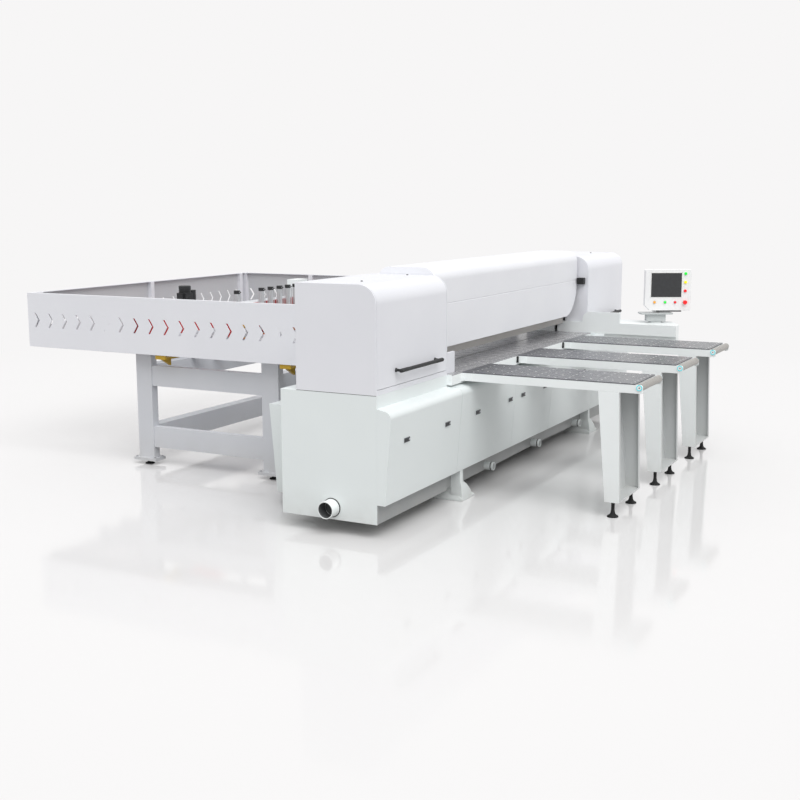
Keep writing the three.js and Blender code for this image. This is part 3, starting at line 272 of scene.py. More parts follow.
# %% Bed plate, metals and plastics
def bed_plate(name, colour, shade, scuff):
    plate = Finish(name, colour, 0.3)
    plate.mottle(plate.noise(60, 4), 0.45, 0.7, 0.5, shade)
    scuffs = plate.noise(26, 4, (14, 0.5, 4))
    plate.mottle(scuffs, 0.56, 0.78, 0.3, scuff)
    worn_streaks = plate.noise(14, 4, (6, 0.6, 3))
    plate.vary_gloss(worn_streaks, 0.2, 0.36)
    grain = plate.noise(300, 2)
    plate.bump(grain, 0.00010, 0.4)
    return plate.material


def brushed(name, colour, shade, roughness, stretch, metallic=1.0):
    metal = Finish(name, colour, roughness, metallic)
    lines = metal.noise(90, 4, stretch)
    metal.mottle(lines, 0.3, 0.7, 0.7, shade)
    metal.vary_gloss(lines, roughness - 0.07, roughness + 0.09)
    metal.bump(lines, 0.00008, 0.5)
    return metal.material


def knurled(name, colour, shade):
    sleeve = Finish(name, colour, 0.42, 0.3)
    upward, lengthwise = sleeve.ridges(90, "Z"), sleeve.ridges(60, "X")
    sleeve.mottle(upward, 0.2, 0.8, 0.6, shade)
    for ridges in (upward, lengthwise):
        sleeve.bump(ridges, 0.0006, 0.8)
    return sleeve.material


def plastic(name, colour, shade, roughness, glow=0.0):
    mould = Finish(name, colour, roughness)
    mould.mottle(mould.noise(40, 3), 0.35, 0.7, 0.6, shade)
    mould.vary_gloss(mould.noise(120, 3), roughness - 0.05, roughness + 0.07)
    grain = mould.noise(900, 2)
    mould.bump(grain, 0.00005, 0.4)
    if glow:
        mould.shader.inputs["Emission Color"].default_value = linear(*colour)
        mould.shader.inputs["Emission Strength"].default_value = glow
    return mould.material


bed_grey = bed_plate("bed_grey", (96, 98, 103), (83, 85, 91), (113, 114, 119))
# The saw bed takes a lighter grey than the tables' plates: painted light for the white beam's
# reflection in it.
saw_bed_grey_painted_light = bed_plate("saw_bed_grey_painted_light", (160, 160, 163), (146, 146, 150), (176, 176, 179))
ground_steel = brushed("ground_steel", (194, 195, 197), (160, 161, 164), 0.3, (1, 1, 18))
rail_steel = brushed("rail_steel", (178, 180, 183), (150, 152, 156), 0.28, (18, 1, 1))
silver_tube = brushed("silver_tube", (214, 216, 218), (170, 172, 176), 0.34, (14, 14, 1), 0.15)
roller_sleeve = knurled("roller_sleeve", (182, 179, 174), (128, 126, 122))
black_plastic = plastic("black_plastic", (22, 23, 24), (30, 31, 33), 0.5)
foot_rubber = plastic("foot_rubber", (9, 9, 10), (14, 14, 15), 0.75)
# Dark grey for the dust outlet's bore and the disc that closes it: painted shade deep inside the
# pipe.
bore_painted_shade = plastic("bore_painted_shade", (96, 98, 99), (74, 76, 77), 0.7)
# Grey for the discs that close the coolant stubs: painted shade in their bores.
stub_mouth_painted_shade = plastic("stub_mouth_painted_shade", (168, 171, 172), (150, 153, 154), 0.5)
grip_grey = plastic("grip_grey", (96, 98, 102), (76, 78, 82), 0.42)
screen_glass = plastic("screen_glass", (48, 49, 51), (56, 57, 60), 0.4)
lamp_green = plastic("lamp_green", (14, 226, 56), (12, 206, 50), 0.25, 0.45)
lamp_yellow = plastic("lamp_yellow", (250, 232, 16), (238, 214, 14), 0.25, 0.35)
lamp_orange = plastic("lamp_orange", (250, 176, 48), (240, 160, 40), 0.25, 0.35)
lamp_red = plastic("lamp_red", (240, 14, 20), (220, 12, 16), 0.25, 0.35)
pendant_white = plastic("pendant_white", (250, 250, 250), (244, 244, 245), 0.35)
# The roller caps' dust rings glow faintly: painted light.
cyan_ring_with_painted_glow = plastic("cyan_ring_with_painted_glow", (10, 214, 226), (10, 198, 212), 0.35, 0.25)
valve_white = plastic("valve_white", (246, 246, 244), (234, 234, 232), 0.3)
print("plates, metals and plastics ready")

# %% [markdown]
# ## Soft edges on every panel
# The solids have knife edges, and real sheet metal has a folded radius that catches a line of
# light. Each solid is copied, its loose triangles are merged into a closed mesh, flat faces are
# joined and a narrow bevel is put on the sharp edges. Faces inside a given block take a second
# finish, so a bracket that is one piece with its frame still gets its own colour. A part that
# gets a finer shape of its own later is cut away here and its seat closed. Normals weighted by
# face area keep the large panels flat in the light.

# %% Dress a solid
made_pieces = []
weld_distance, flat_angle, fold_angle = 0.00001, 0.6, 32


def ride(piece, body, slot, *stands_for):
    if piece.name not in scene.collection.objects:
        scene.collection.objects.link(piece)
    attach(piece, body)
    if stands_for:
        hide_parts(*stands_for)
    made_pieces.append(piece)
    return piece


def settled(piece):
    """The piece's mesh with its modifiers worked in, as a plain mesh again."""
    bpy.context.view_layer.update()
    shown = piece.evaluated_get(bpy.context.evaluated_depsgraph_get())
    mesh = bpy.data.meshes.new_from_object(shown)
    piece.modifiers.clear()
    piece.data = mesh
    return piece


def shaded(name, mesh, angle=38):
    mesh.shade_smooth()
    mesh.set_sharp_from_angle(angle=math.radians(angle))
    piece = bpy.data.objects.new(name, mesh)
    scene.collection.objects.link(piece)
    even = piece.modifiers.new("even_panels", "WEIGHTED_NORMAL")
    even.keep_sharp = True
    even.weight = 100
    return settled(piece)


def inside(face, low, high):
    centre = face.calc_center_median()
    return all(low[i] <= centre[i] <= high[i] for i in range(3))


def dress(node, finish, edge, zones, cut_away):
    mesh = bpy.data.meshes.new(node + "_dressed")
    work = bmesh.new()
    work.from_mesh(frame["nodes"][node].data)
    bmesh.ops.remove_doubles(work, verts=work.verts, dist=weld_distance)
    bmesh.ops.dissolve_limit(work, angle_limit=math.radians(flat_angle), verts=work.verts,
                             edges=work.edges)
    for low, high in cut_away:
        gone = [face for face in work.faces if inside(face, low, high)]
        bmesh.ops.delete(work, geom=gone, context="FACES")
        rims = [e for e in work.edges if e.is_boundary]
        bmesh.ops.holes_fill(work, edges=rims, sides=0)
    finishes = [finish]
    for low, high, look in zones:
        if look not in finishes:
            finishes.append(look)
        for face in work.faces:
            if inside(face, low, high):
                face.material_index = finishes.index(look)
    if edge:
        sharp = [e for e in work.edges if len(e.link_faces) == 2 and e.calc_length() > 1.5 * edge
                 and e.calc_face_angle(0) > math.radians(fold_angle)]
        bmesh.ops.bevel(work, geom=sharp, offset=edge, offset_type="OFFSET", segments=2,
                        profile=0.5, affect="EDGES", clamp_overlap=True, material=-1)
    work.normal_update()
    work.to_mesh(mesh)
    work.free()
    for look in finishes:
        mesh.materials.append(look)
    piece = shaded(node + "_dressed", mesh)
    return ride(piece, body_of_node[node], slot_of_node[node], node)


def box_of(node):
    low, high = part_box(node)
    return Vector(low), Vector(high)


print("soft edges ready")

# %% [markdown]
# ## Which faces take which colour
# One welded solid can carry several finishes: a white table leg with painted shade inside its
# channel, or a red gripper body under a bright air cylinder. The rear guards' inner faces take
# painted shade as well. The zones are blocks in the fitter's millimetres, and the last one that
# holds a face's centre wins. Three more blocks mark what is cut away: the dust outlet's pipe, the
# feet under the table legs and the foot discs of the rear posts.

# %% Colour zones
anywhere = (-9000, 9000)


def around(middle, reach):
    return middle - reach, middle + reach


def block(x_span, y_span, z_span):
    return tuple(at(*corner) for corner in zip(x_span, y_span, z_span))


def zone(look, x_span, y_span, z_span):
    return (*block(x_span, y_span, z_span), look)


leg_feet = block(anywhere, anywhere, (-9000, 105.5))
post_feet = block(anywhere, anywhere, (-9000, 34.8))
outlet_pipe = block((-2700, -2575.5), (280, 400), (110, 250))
cut_from = {"near_cabinet": [outlet_pipe], "rear_frame_near": [post_feet],
            "rear_frame_far": [post_feet]}
zones_of = {
    "far_hood": [zone(black_plastic, (1470, 1527.5), (20, 100), (1395, 1465))],
    "pusher_beam": [zone(gripper_red, anywhere, anywhere, (1061, 1225)),
                    zone(machine_black, (-915, -700), (2780, 2900), (1241, 1460)),
                    zone(table_white, (875, 1080), (2780, 2930), (1245, 1405))],
    # The guards' inner faces take painted shade.
    "rear_guard_far": [zone(guard_inside_painted_shade, (1596, 1598), anywhere, anywhere)],
    "rear_guard_near": [zone(guard_inside_painted_shade, (-1598, -1596), anywhere, anywhere)],
    "rear_guard_back": [zone(guard_inside_painted_shade, anywhere, (3935, 3937), anywhere)]}
for number, middles in enumerate(latch_middles, 1):
    zones_of[f"front_cover_{number}"] = [
        zone(grip_grey, around(x, 27), (-130, -70), (616, 646)) for x in middles]
for number, middle in enumerate(table_middles, 1):
    cut_from[f"table_{number}_leg"] = [leg_feet]
    # The inside of each leg's channel takes painted shade.
    zones_of[f"table_{number}_leg"] = [
        zone(leg_inside_painted_shade, around(middle, 243), (-1231, -1050), (107, 885)),
        zone(leg_inside_painted_shade, around(middle, 260), (-1240, -1230), (107, 885))]
    if number > 1:
        clamp = (middle - 275, middle - 247.5)
        zones_of[f"table_{number}_frame"] = [zone(black_plastic, clamp, (-52, -36), (870, 945))]
zones_of["bed_front"] = zones_of["bed_rear"] = [
    zone(table_white, around(x, 3), (-60, 700), (800, 949)) for x in (-bed_end, bed_end)]
zones_of["pendant_housing"] = zones_of["console_arm"] = [
    zone(swivel_grey, anywhere, anywhere, (1052, 1146))]
zones_of["base_frame"] = [
    *(zone(cabinet_white, around(x, 34), (-60, 24), (99, 169)) for x in stub_middles),
    zone(table_white, anywhere, (-60, 700), (860, 915)),
    zone(cabinet_white, anywhere, (590, 610), (100, 915)),
    *(zone(cabinet_white, around(x, 110), (-90, 200), (-1, 236)) for x in foot_middles)]
for side in ("near", "far"):
    zones_of[f"rear_frame_{side}"] = [
        *(zone(bracket_yellow, x_span, around(y, 60), (845, 951))
          for x_span in ((-1600, -1396), (1396, 1600)) for y in (2530, 1330)),
        zone(rail_steel, anywhere, anywhere, (984, 1010))]
gripper_x = []
for number in range(1, 7):
    low, high = box_of(f"gripper_jaw_{number}")
    gripper_x.append(((low.x + high.x) / 2 - middle_line) * 1000)
zones_of["gripper_row"] = [zone(bracket_yellow, anywhere, (2500, 2760), (940, 1040))]
for x in gripper_x:
    zones_of["gripper_row"] += [
        zone(machine_black, around(x, 31), around(cylinder_y, 28), (1150.5, 1179)),
        zone(silver_tube, around(x, 31), around(cylinder_y, 28), (1179.5, 1349)),
        zone(machine_black, around(x, 31), around(cylinder_y, 30), (1349.5, 1400))]
print("nodes with zones", sorted(zones_of))

# %% [markdown]
# ## Dress every solid
# Most solids take the finish of their material slot. The tables' frames are painted a brighter
# white than the cabinets, the three push buttons differ, and the grippers' lower jaws are
# yellow.

# %% Dress them
look_of_slot = {"body_white": cabinet_white, "hood_white": hood_white, "bed_grey": bed_grey,
                "frame_grey": frame_grey, "dark_grey": machine_black, "steel": ground_steel,
                "roller_grey": roller_sleeve, "screen": screen_glass, "button_red": lamp_red,
                "gripper_red": gripper_red}
own_look = {"push_button_1": lamp_orange, "push_button_2": lamp_green, "push_button_3": lamp_red,
            "pendant_housing": pendant_white, "beam_cover": beam_white,
            # The base frame takes the sill's painted-shade grey.
            "front_presser": presser_grey, "base_frame": sill_painted_shade, "bed_front": saw_bed_grey_painted_light,
            # The saw bed plates take the lighter grey, painted light.
            "bed_rear": saw_bed_grey_painted_light, "console_arm": table_white, "side_fence": table_white}
own_look.update({f"gripper_jaw_{number}": bracket_yellow for number in range(1, 7)})
edge_of = {"bed_front": 0.001, "bed_rear": 0.001, "main_blade": 0, "scoring_blade": 0,
           "pendant_screen": 0.0005}
for number in (1, 2, 3):
    own_look[f"table_{number}_frame"] = own_look[f"table_{number}_leg"] = table_white
    edge_of[f"table_{number}_top"] = 0.0015
for node in body_of_node:
    if node not in ("near_door_handle", "far_door_handle"):
        dress(node, own_look.get(node, look_of_slot[slot_of_node[node]]), edge_of.get(node, 0.002),
              zones_of.get(node, ()), cut_from.get(node, ()))
print("dressed solids", len(made_pieces))

# %% [markdown]
# ## Shapes for small parts
# Handles, rings and covers are turned or pressed parts, so the next helper gathers turned
# profiles and edge-rounded blocks into one mesh. A profile is read from the foot upwards, in
# stretches of one finish each.

# %% A small workshop
def coated(look, *profile):
    """A stretch of a turned profile in one finish, from (radius, height) in millimetres."""
    return [(radius / 1000, rise / 1000, look) for radius, rise in profile]


class Workshop:
    """Turned and pressed shells gathered into one mesh, each band with its own finish."""

    def __init__(self):
        self.work = bmesh.new()
        self.finishes = []

    def paint(self, faces, look):
        if look not in self.finishes:
            self.finishes.append(look)
        for face in faces:
            face.material_index = self.finishes.index(look)

    def ring(self, centre, across, beside, radius, sides):
        if radius < 1e-7:
            return [self.work.verts.new(centre)]
        spokes = [across * math.cos(turn) + beside * math.sin(turn)
                  for turn in (2 * math.pi * i / sides for i in range(sides))]
        return [self.work.verts.new(centre + spoke * radius) for spoke in spokes]

    def turned(self, foot, direction, profile, sides, closed=False):
        direction = Vector(direction).normalized()
        across = direction.orthogonal().normalized()
        beside = direction.cross(across)
        rings = [self.ring(foot + direction * rise, across, beside, radius, sides)
                 for radius, rise, _ in profile]
        pairs = list(zip(rings, rings[1:], (look for _, _, look in profile[1:])))
        if closed:
            pairs.append((rings[-1], rings[0], profile[0][2]))
        for low, high, look in pairs:
            faces = []
            for i in range(sides):
                corners = [low[i % len(low)], low[(i + 1) % len(low)],
                           high[(i + 1) % len(high)], high[i % len(high)]]
                corners = [v for k, v in enumerate(corners) if v not in corners[:k]]
                if len(corners) > 2:
                    faces.append(self.work.faces.new(corners))
            self.paint(faces, look)

    def pressed(self, low, high, look, edge, pivot=None, spin=None):
        made = bmesh.ops.create_cube(self.work, size=1)
        size, middle = high - low, (high + low) / 2
        for vert in made["verts"]:
            vert.co = Vector([part * whole for part, whole in zip(vert.co, size)]) + middle
        edges = list({e for v in made["verts"] for e in v.link_edges})
        before = set(self.work.faces) - {f for v in made["verts"] for f in v.link_faces}
        if edge:
            bmesh.ops.bevel(self.work, geom=edges, offset=edge, offset_type="OFFSET", segments=2,
                            profile=0.5, affect="EDGES", clamp_overlap=True)
        faces = set(self.work.faces) - before
        if spin is not None:
            for vert in {v for f in faces for v in f.verts}:
                vert.co = pivot + spin @ (vert.co - pivot)
        self.paint(faces, look)

    def finish(self, name, angle=38):
        bmesh.ops.recalc_face_normals(self.work, faces=self.work.faces)
        mesh = bpy.data.meshes.new(name)
        self.work.to_mesh(mesh)
        self.work.free()
        for look in self.finishes:
            mesh.materials.append(look)
        return shaded(name, mesh, angle)


print("workshop open")

# %% [markdown]
# ## Door handles
# Each hood door is lifted by a long black pull bar. It is a straight tube with rounded ends on
# two turned feet, and it stands proud of the door so that a gloved hand fits behind it. The
# solid's bar starts too far out towards the near end, so this one starts a little later.

# %% Two pull handles
late_start, foot_inset = 0.055, 0.03


def door_handle(side):
    node = f"{side}_door_handle"
    low, high = box_of(node)
    low.x += late_start
    radius = (high.z - low.z) / 2
    middle_z, bar_y = (low.z + high.z) / 2, low.y + radius
    thick, length, reach = radius * 1000, (high.x - low.x) * 1000, (high.y - bar_y) * 1000
    shop = Workshop()
    shop.turned(Vector((low.x, bar_y, middle_z)), (1, 0, 0), [
        *coated(black_plastic, (0, 0), (thick * 0.6, 1), (thick * 0.9, 6), (thick, 14),
                (thick, 100)),
        *coated(grip_grey, (thick * 0.93, 104)),
        *coated(black_plastic, (thick * 0.93, length - 104), (thick, length - 100),
                (thick, length - 14), (thick * 0.9, length - 6), (thick * 0.6, length - 1),
                (0, length))], sides=20)
    for x in (low.x + foot_inset, high.x - foot_inset):
        shop.turned(Vector((x, high.y, middle_z)), (0, -1, 0), coated(
            black_plastic, (0, 0), (thick, 0), (thick, 4), (thick * 0.72, 10),
            (thick * 0.62, reach * 0.6), (thick * 0.75, reach), (0, reach)), sides=18)
    return ride(shop.finish(f"{side}_pull_handle"), body_of_node[node], slot_of_node[node], node)


for side in ("near", "far"):
    print(door_handle(side).name)

# %% [markdown]
# ## Hardware by the row
# Screws, valves and tie rods repeat by the dozen, so one small geometry tree places a copy of a
# pattern part at every marked spot, faces it along the mark and gives it a random twist, because
# no fitter stops every screw at the same angle.

# %% The tree that sets hardware out
def hardware_tree():
    # The random value's sockets share their names, so they are reached by their places.
    random_max, random_result = 3, 1
    tree = bpy.data.node_groups.new("hardware_rows", "GeometryNodeTree")
    for title, kind in (("Spots", "NodeSocketGeometry"), ("Pattern part", "NodeSocketObject"),
                        ("Twist", "NodeSocketFloat"), ("Seed", "NodeSocketInt"),
                        ("Finish", "NodeSocketMaterial")):
        tree.interface.new_socket(title, in_out="INPUT", socket_type=kind)
    tree.interface.new_socket("Geometry", in_out="OUTPUT", socket_type="NodeSocketGeometry")
    nodes, links = tree.nodes, tree.links
    given, result = nodes.new("NodeGroupInput"), nodes.new("NodeGroupOutput")
    pattern = nodes.new("GeometryNodeObjectInfo")
    facing = nodes.new("GeometryNodeInputNamedAttribute")
    facing.data_type = "FLOAT_VECTOR"
    facing.inputs["Name"].default_value = "facing"
    aim = nodes.new("FunctionNodeAlignRotationToVector")
    aim.axis = "Z"
    twist = nodes.new("FunctionNodeRandomValue")
    about = nodes.new("FunctionNodeAxisAngleToRotation")
    about.inputs["Axis"].default_value = (0, 0, 1)
    spun = nodes.new("FunctionNodeRotateRotation")
    spun.rotation_space = "LOCAL"
    copies = nodes.new("GeometryNodeInstanceOnPoints")
    real = nodes.new("GeometryNodeRealizeInstances")
    paint = nodes.new("GeometryNodeSetMaterial")
    for start, end in ((given.outputs["Pattern part"], pattern.inputs["Object"]),
                       (given.outputs["Twist"], twist.inputs[random_max]),
                       (given.outputs["Seed"], twist.inputs["Seed"]),
                       (twist.outputs[random_result], about.inputs["Angle"]),
                       (facing.outputs["Attribute"], aim.inputs["Vector"]),
                       (aim.outputs["Rotation"], spun.inputs["Rotation"]),
                       (about.outputs["Rotation"], spun.inputs["Rotate By"]),
                       (given.outputs["Spots"], copies.inputs["Points"]),
                       (pattern.outputs["Geometry"], copies.inputs["Instance"]),
                       (spun.outputs["Rotation"], copies.inputs["Rotation"]),
                       (copies.outputs["Instances"], real.inputs["Geometry"]),
                       (real.outputs["Geometry"], paint.inputs["Geometry"]),
                       (given.outputs["Finish"], paint.inputs["Material"]),
                       (paint.outputs["Geometry"], result.inputs["Geometry"])):
        links.new(start, end)
    return tree


rows_tree = hardware_tree()
socket_of = {item.name: item.identifier for item in rows_tree.interface.items_tree
             if item.in_out == "INPUT"}


def hardware(name, body, slot, pattern, finish, spots, twist=0.0, seed=7):
    """Copies of a pattern part at every (place, facing) in spots, as one plain mesh."""
    mesh = bpy.data.meshes.new(name)
    mesh.from_pydata([tuple(place) for place, _ in spots], [], [])
    facing = mesh.attributes.new("facing", "FLOAT_VECTOR", "POINT")
    for i, (_, direction) in enumerate(spots):
        facing.data[i].vector = direction
    piece = bpy.data.objects.new(name, mesh)
    scene.collection.objects.link(piece)
    rows = piece.modifiers.new("rows", "NODES")
    rows.node_group = rows_tree
    for title, value in (("Pattern part", pattern), ("Twist", twist), ("Seed", seed),
                         ("Finish", finish)):
        rows[socket_of[title]] = value
    return ride(settled(piece), body, slot)


def pattern_part(name, *profile, sides=12):
    """A turned part about +Z at the origin, kept out of the picture and used as a pattern."""
    shop = Workshop()
    tube = profile[0][0] > 0 and profile[-1][0] > 0
    shop.turned(Vector(), up_way, coated(ground_steel, *profile), sides, tube)
    return shop.finish(name, 30)


print("tree inputs", list(socket_of))

# %% [markdown]
# ## Pattern parts
# A socket screw is a cylinder with a socket sunk in its head, a hexagon bolt has a wide flange
# under a domed head, and an air valve is a ring pressed into the table with a ball that the
# sheet pushes down. A tie rod is a plain bar.

# %% Screws, bolts and valves
def socket_screw(name, radius):
    return pattern_part(name, (0, -0.2), (radius, -0.2), (radius, radius * 0.55),
                        (radius * 0.9, radius * 0.7), (radius * 0.48, radius * 0.7),
                        (radius * 0.44, radius * 0.3), (0, radius * 0.3))


def hexagon_bolt(name, radius):
    return pattern_part(name, (0, -0.2), (radius * 1.35, -0.2), (radius * 1.35, radius * 0.2),
                        (radius, radius * 0.22), (radius, radius * 0.9), (radius * 0.85, radius),
                        (0, radius), sides=6)


small_screw = socket_screw("pattern_small_screw", 4)
large_screw = socket_screw("pattern_large_screw", 7.5)
frame_bolt = hexagon_bolt("pattern_frame_bolt", 9)
valve_ring = pattern_part("pattern_valve_ring", (6.5, -0.3), (6.5, 0.5), (5.6, 0.9), (4.2, 0.9),
                          (4.0, -0.3))
valve_ball = pattern_part("pattern_valve_ball", (0, -1.0), (3.4, -1.0), (3.3, 0.6), (2.2, 1.8),
                          (0, 2.3), sides=10)
tie_rod = pattern_part("pattern_tie_rod", (0, 0), (3, 0), (3, 170), (0, 170), sides=8)
patterns = [small_screw, large_screw, frame_bolt, valve_ring, valve_ball, tie_rod]
print("pattern parts", len(patterns))

# %% [markdown]
# ## Air valves in the tables and the bed
# Air blown through spring-loaded balls floats a heavy sheet while the operator turns it. The
# valves stand in a regular grid over each table and over the strip of bed in front of the beam.

# %% Valves
column_pitch, row_pitch, first_row = 76, 78, -1290
spots = [(at(middle + column * column_pitch, first_row + row * row_pitch, table_top), up_way)
         for middle in table_middles for column in range(-3, 4)
         for row in range(16) if (row + column) % 2 == 0 or row % 3 == 0]
spots += [(at(x, y, table_top), up_way) for x in range(-1440, 1400, 80) for y in (0, 75)]
hardware("table_valve_rings", "machine", "steel", valve_ring, valve_white, spots)
hardware("table_valve_balls", "machine", "steel", valve_ball, ground_steel, spots)
print("valves", len(spots))

# %% [markdown]
# ## Screws and bolts where plates meet
# The hood tops are held by two screws each, the rear frame stands on bolted floor plates, and the
# feed rails are screwed down every few centimetres.

# %% Screws and bolts on the standing frame
full_turn = 6.28
hood_top, plate_top, rail_x, rail_top = 1654, 59, 1435, 1005
hood_screws = [(at(x, y, hood_top), up_way)
               for x, y in ((-2315, 248), (-1601, 281), (1601, 281), (2315, 248))]
plate_bolts = [(at(side * post_x + dx, y + dy, plate_top), up_way)
               for side in (-1, 1) for y in post_rows for dx in (-50, 50) for dy in (-94, 94)]
rail_screws = [(at(side * rail_x, y, rail_top), up_way)
               for side in (-1, 1) for y in range(780, 3860, 120)]
hardware("hood_top_screws", "machine", "steel", large_screw, black_plastic, hood_screws, full_turn)
hardware("floor_plate_bolts", "machine", "steel", frame_bolt, ground_steel, plate_bolts,
         full_turn, 11)
hardware("feed_rail_screws", "machine", "steel", small_screw, black_plastic, rail_screws,
         full_turn, 13)
print("screws and bolts", len(hood_screws + plate_bolts + rail_screws))

# %% [markdown]
# ## Roller caps, dust outlet and coolant stubs
# The small rollers at the tables' ends turn in bearings behind a white cap with a coloured dust
# ring, which is given a faint glow, painted light. The dust outlet is a thin pipe clamped against
# the cabinet with a dark rubber collar; its bore and the disc that closes it are painted dark
# grey, the shade deep inside the pipe. The stubs in the sill are pipes with a rolled rim, each
# closed by a grey disc painted as the shade in its bore.

# %% Caps, collar and rims
roller_y, roller_z, cap_reach = -1352, 924, 253
stub_y, stub_z = -45, 134
# The caps' cyan dust rings glow faintly: painted light.
cap = [*coated(machine_black, (0, 2.2), (3.8, 2.2), (4.0, 1.0)),
       *coated(valve_white, (4.4, 1.0), (15.5, 1.0)),
       *coated(cyan_ring_with_painted_glow, (15.8, 1.8), (20.0, 1.8), (20.8, 0), (0, 0))]
shop = Workshop()
for middle in table_middles:
    for side in (-1, 1):
        face = at(middle + side * cap_reach, roller_y, roller_z)
        shop.turned(face, (side, 0, 0), cap, sides=28)
ride(shop.finish("roller_bearing_caps"), "machine", "body_white")

outlet = at(-cabinet_end, 340, 178)
shop = Workshop()
# The disc closing the bore and the bore's wall are painted dark grey: the shade inside the pipe.
shop.turned(outlet, (-1, 0, 0),
            coated(bore_painted_shade, (0, -1), (50, -1), (50, 0.5), (0, 0.5)), sides=40)
shop.turned(outlet, (-1, 0, 0), [
    *coated(bore_painted_shade, (52, -1), (52, 84)),
    *coated(table_white, (53.5, 89), (57.5, 89), (59, 87), (59, 84), (58, 82), (58, 6), (60, 5.5)),
    *coated(black_plastic, (64.5, 4), (65.5, -1))], sides=40, closed=True)
ride(shop.finish("dust_outlet_pipe"), "machine", "dark_grey")

# The grey disc over each stub's mouth is painted shade in its bore.
rim = [*coated(stub_mouth_painted_shade, (0, 3.4), (26.5, 3.4)),
       *coated(cabinet_white, (26.8, 4.8), (29, 5.8), (32.5, 4.5), (33.6, 3), (33.6, -10)),
       *coated(black_plastic, (33.4, -10.2), (33.4, -18), (0, -18))]
shop = Workshop()
for x in stub_middles:
    shop.turned(at(x, stub_y, stub_z), (0, -1, 0), rim, sides=28)
ride(shop.finish("coolant_stub_rims"), "machine", "body_white")
print("caps, outlet and stubs ready")

# %% [markdown]
# ## Levelling feet
# The table legs and the rear posts stand on rubber-clad levelling feet. Each is one bell-shaped
# casting on a threaded stem, so it is a turned profile that flares from the stem to a wide rim.

# %% Levelling feet
leg_feet_y, leg_feet_reach, leg_seat = -1180.5, 215, 106
bell_height, post_seat = 50, 35
bell = [(0, 0), (40, 0), (40, 5), (37, 9), (27, 14), (19, 22), (15, 33), (14, 44), (12.5, 46)]
thread = [point for rise in range(bell_height, 104, 6)
          for point in ((13, rise), (11.5, rise + 3))]
low_bell = [(radius, rise * post_seat / bell_height) for radius, rise in bell]
shop = Workshop()


def levelling_foot(x, y, profile, seat):
    shop.turned(at(x, y, 0), up_way,
                coated(foot_rubber, *profile, (13, seat + 2), (0, seat + 2)), sides=26)


for middle in table_middles:
    for side in (-1, 1):
        levelling_foot(middle + side * leg_feet_reach, leg_feet_y, bell + thread, leg_seat)
for side in (-1, 1):
    for y in post_rows:
        levelling_foot(side * post_x, y, low_bell, post_seat)
ride(shop.finish("levelling_feet", 30), "machine", "dark_grey")
print("levelling feet ready")

# %% [markdown]
# ## Flared foot castings
# Each front foot is a casting bolted on over the sill's foot plate. Its neck disappears behind the
# covers' lower edge, and its far side sweeps out to a long toe. So it is a stack of rectangles
# joined ring by ring, a wide one at the floor and a narrow one under the covers. Each row below
# gives a height, then the near side, the toe and the front, measured from the foot's middle.

# %% Castings
casting_rows = ((1, -98, 62, -76), (26, -98, 64, -76), (42, -97, 61, -75), (66, -96, 52, -70),
                (111, -95, 8, -62), (144, -94, -45, -57), (232, -93, -49, -55))
casting_back = 24


def foot_casting(shop, x):
    rings = [[shop.work.verts.new(at(x + dx, y, z)) for dx, y in (
        (near, front), (toe, front), (toe, casting_back), (near, casting_back))]
        for z, near, toe, front in casting_rows]
    faces = [shop.work.faces.new(rings[0][::-1]), shop.work.faces.new(rings[-1])]
    for low, high in zip(rings, rings[1:]):
        for i in range(4):
            j = (i + 1) % 4
            faces.append(shop.work.faces.new((low[i], low[j], high[j], high[i])))
    upright = {e for f in faces for e in f.edges if abs(e.verts[0].co.z - e.verts[1].co.z) > 0.001}
    shop.paint(faces, cabinet_white)
    bmesh.ops.bevel(shop.work, geom=list(upright), offset=0.006, offset_type="OFFSET", segments=2,
                    profile=0.5, affect="EDGES", clamp_overlap=True, material=-1)


shop = Workshop()
for x in foot_middles:
    foot_casting(shop, x)
ride(shop.finish("foot_castings", 50), "machine", "body_white")
print("foot castings", len(foot_middles))

# %% [markdown]
# ## The bed's white apron and the painted shade under the cabinets
# The bed is a dark plate on a white frame, so its front edge is dark only for the plate's
# thickness and white below. Under the outer front covers each cabinet gets a grey plate, painted
# shade for the dark strip under the covers.

# %% Apron along the bed's front edge, painted shade plates under the cabinets
shop = Workshop()
shop.pressed(at(0.5 - bed_end, -38.2, 908), at(bed_end - 0.5, -36.5, 941.5), table_white, 0.0004)
ride(shop.finish("bed_apron"), "machine", "body_white")
shop = Workshop()
for x_low, x_high in ((-2572, -1533), (1533, 2572)):
    # Grey plates on the cabinets' front under the outer covers: painted shade.
    shop.pressed(at(x_low, -1.5, 102), at(x_high, 0.5, 240), sill_painted_shade, 0.0004)
ride(shop.finish("kick_plates"), "machine", "frame_grey")
print("apron and kick plates ready")

# %% [markdown]
# ## Dark seams under the hoods
# A strip of black foam seals each hood on its cabinet, and shows as a thin dark line round its
# foot.

# %% Foam strips
foam_low, foam_high = 945.6, 948.6
shop = Workshop()
for side, outer in ((-1, -2575.4), (1, 2574.8)):
    for ends, y_low, y_high in (((outer, side * 2571), 2, 602),
                                ((outer - side * 3, side * bed_end), 600, 603.6)):
        shop.pressed(at(min(ends), y_low, foam_low), at(max(ends), y_high, foam_high),
                     black_plastic, 0)
ride(shop.finish("hood_foam_strips"), "machine", "dark_grey")
print("foam strips ready")

# %% [markdown]
# ## Latches on the front covers
# Each cover is closed by two flush paddle latches. The solid carries the latch's frame, and the
# dark surround, the paddle and the key barrel are added over the face of that frame.

# %% Paddle latches
latch_height = 631


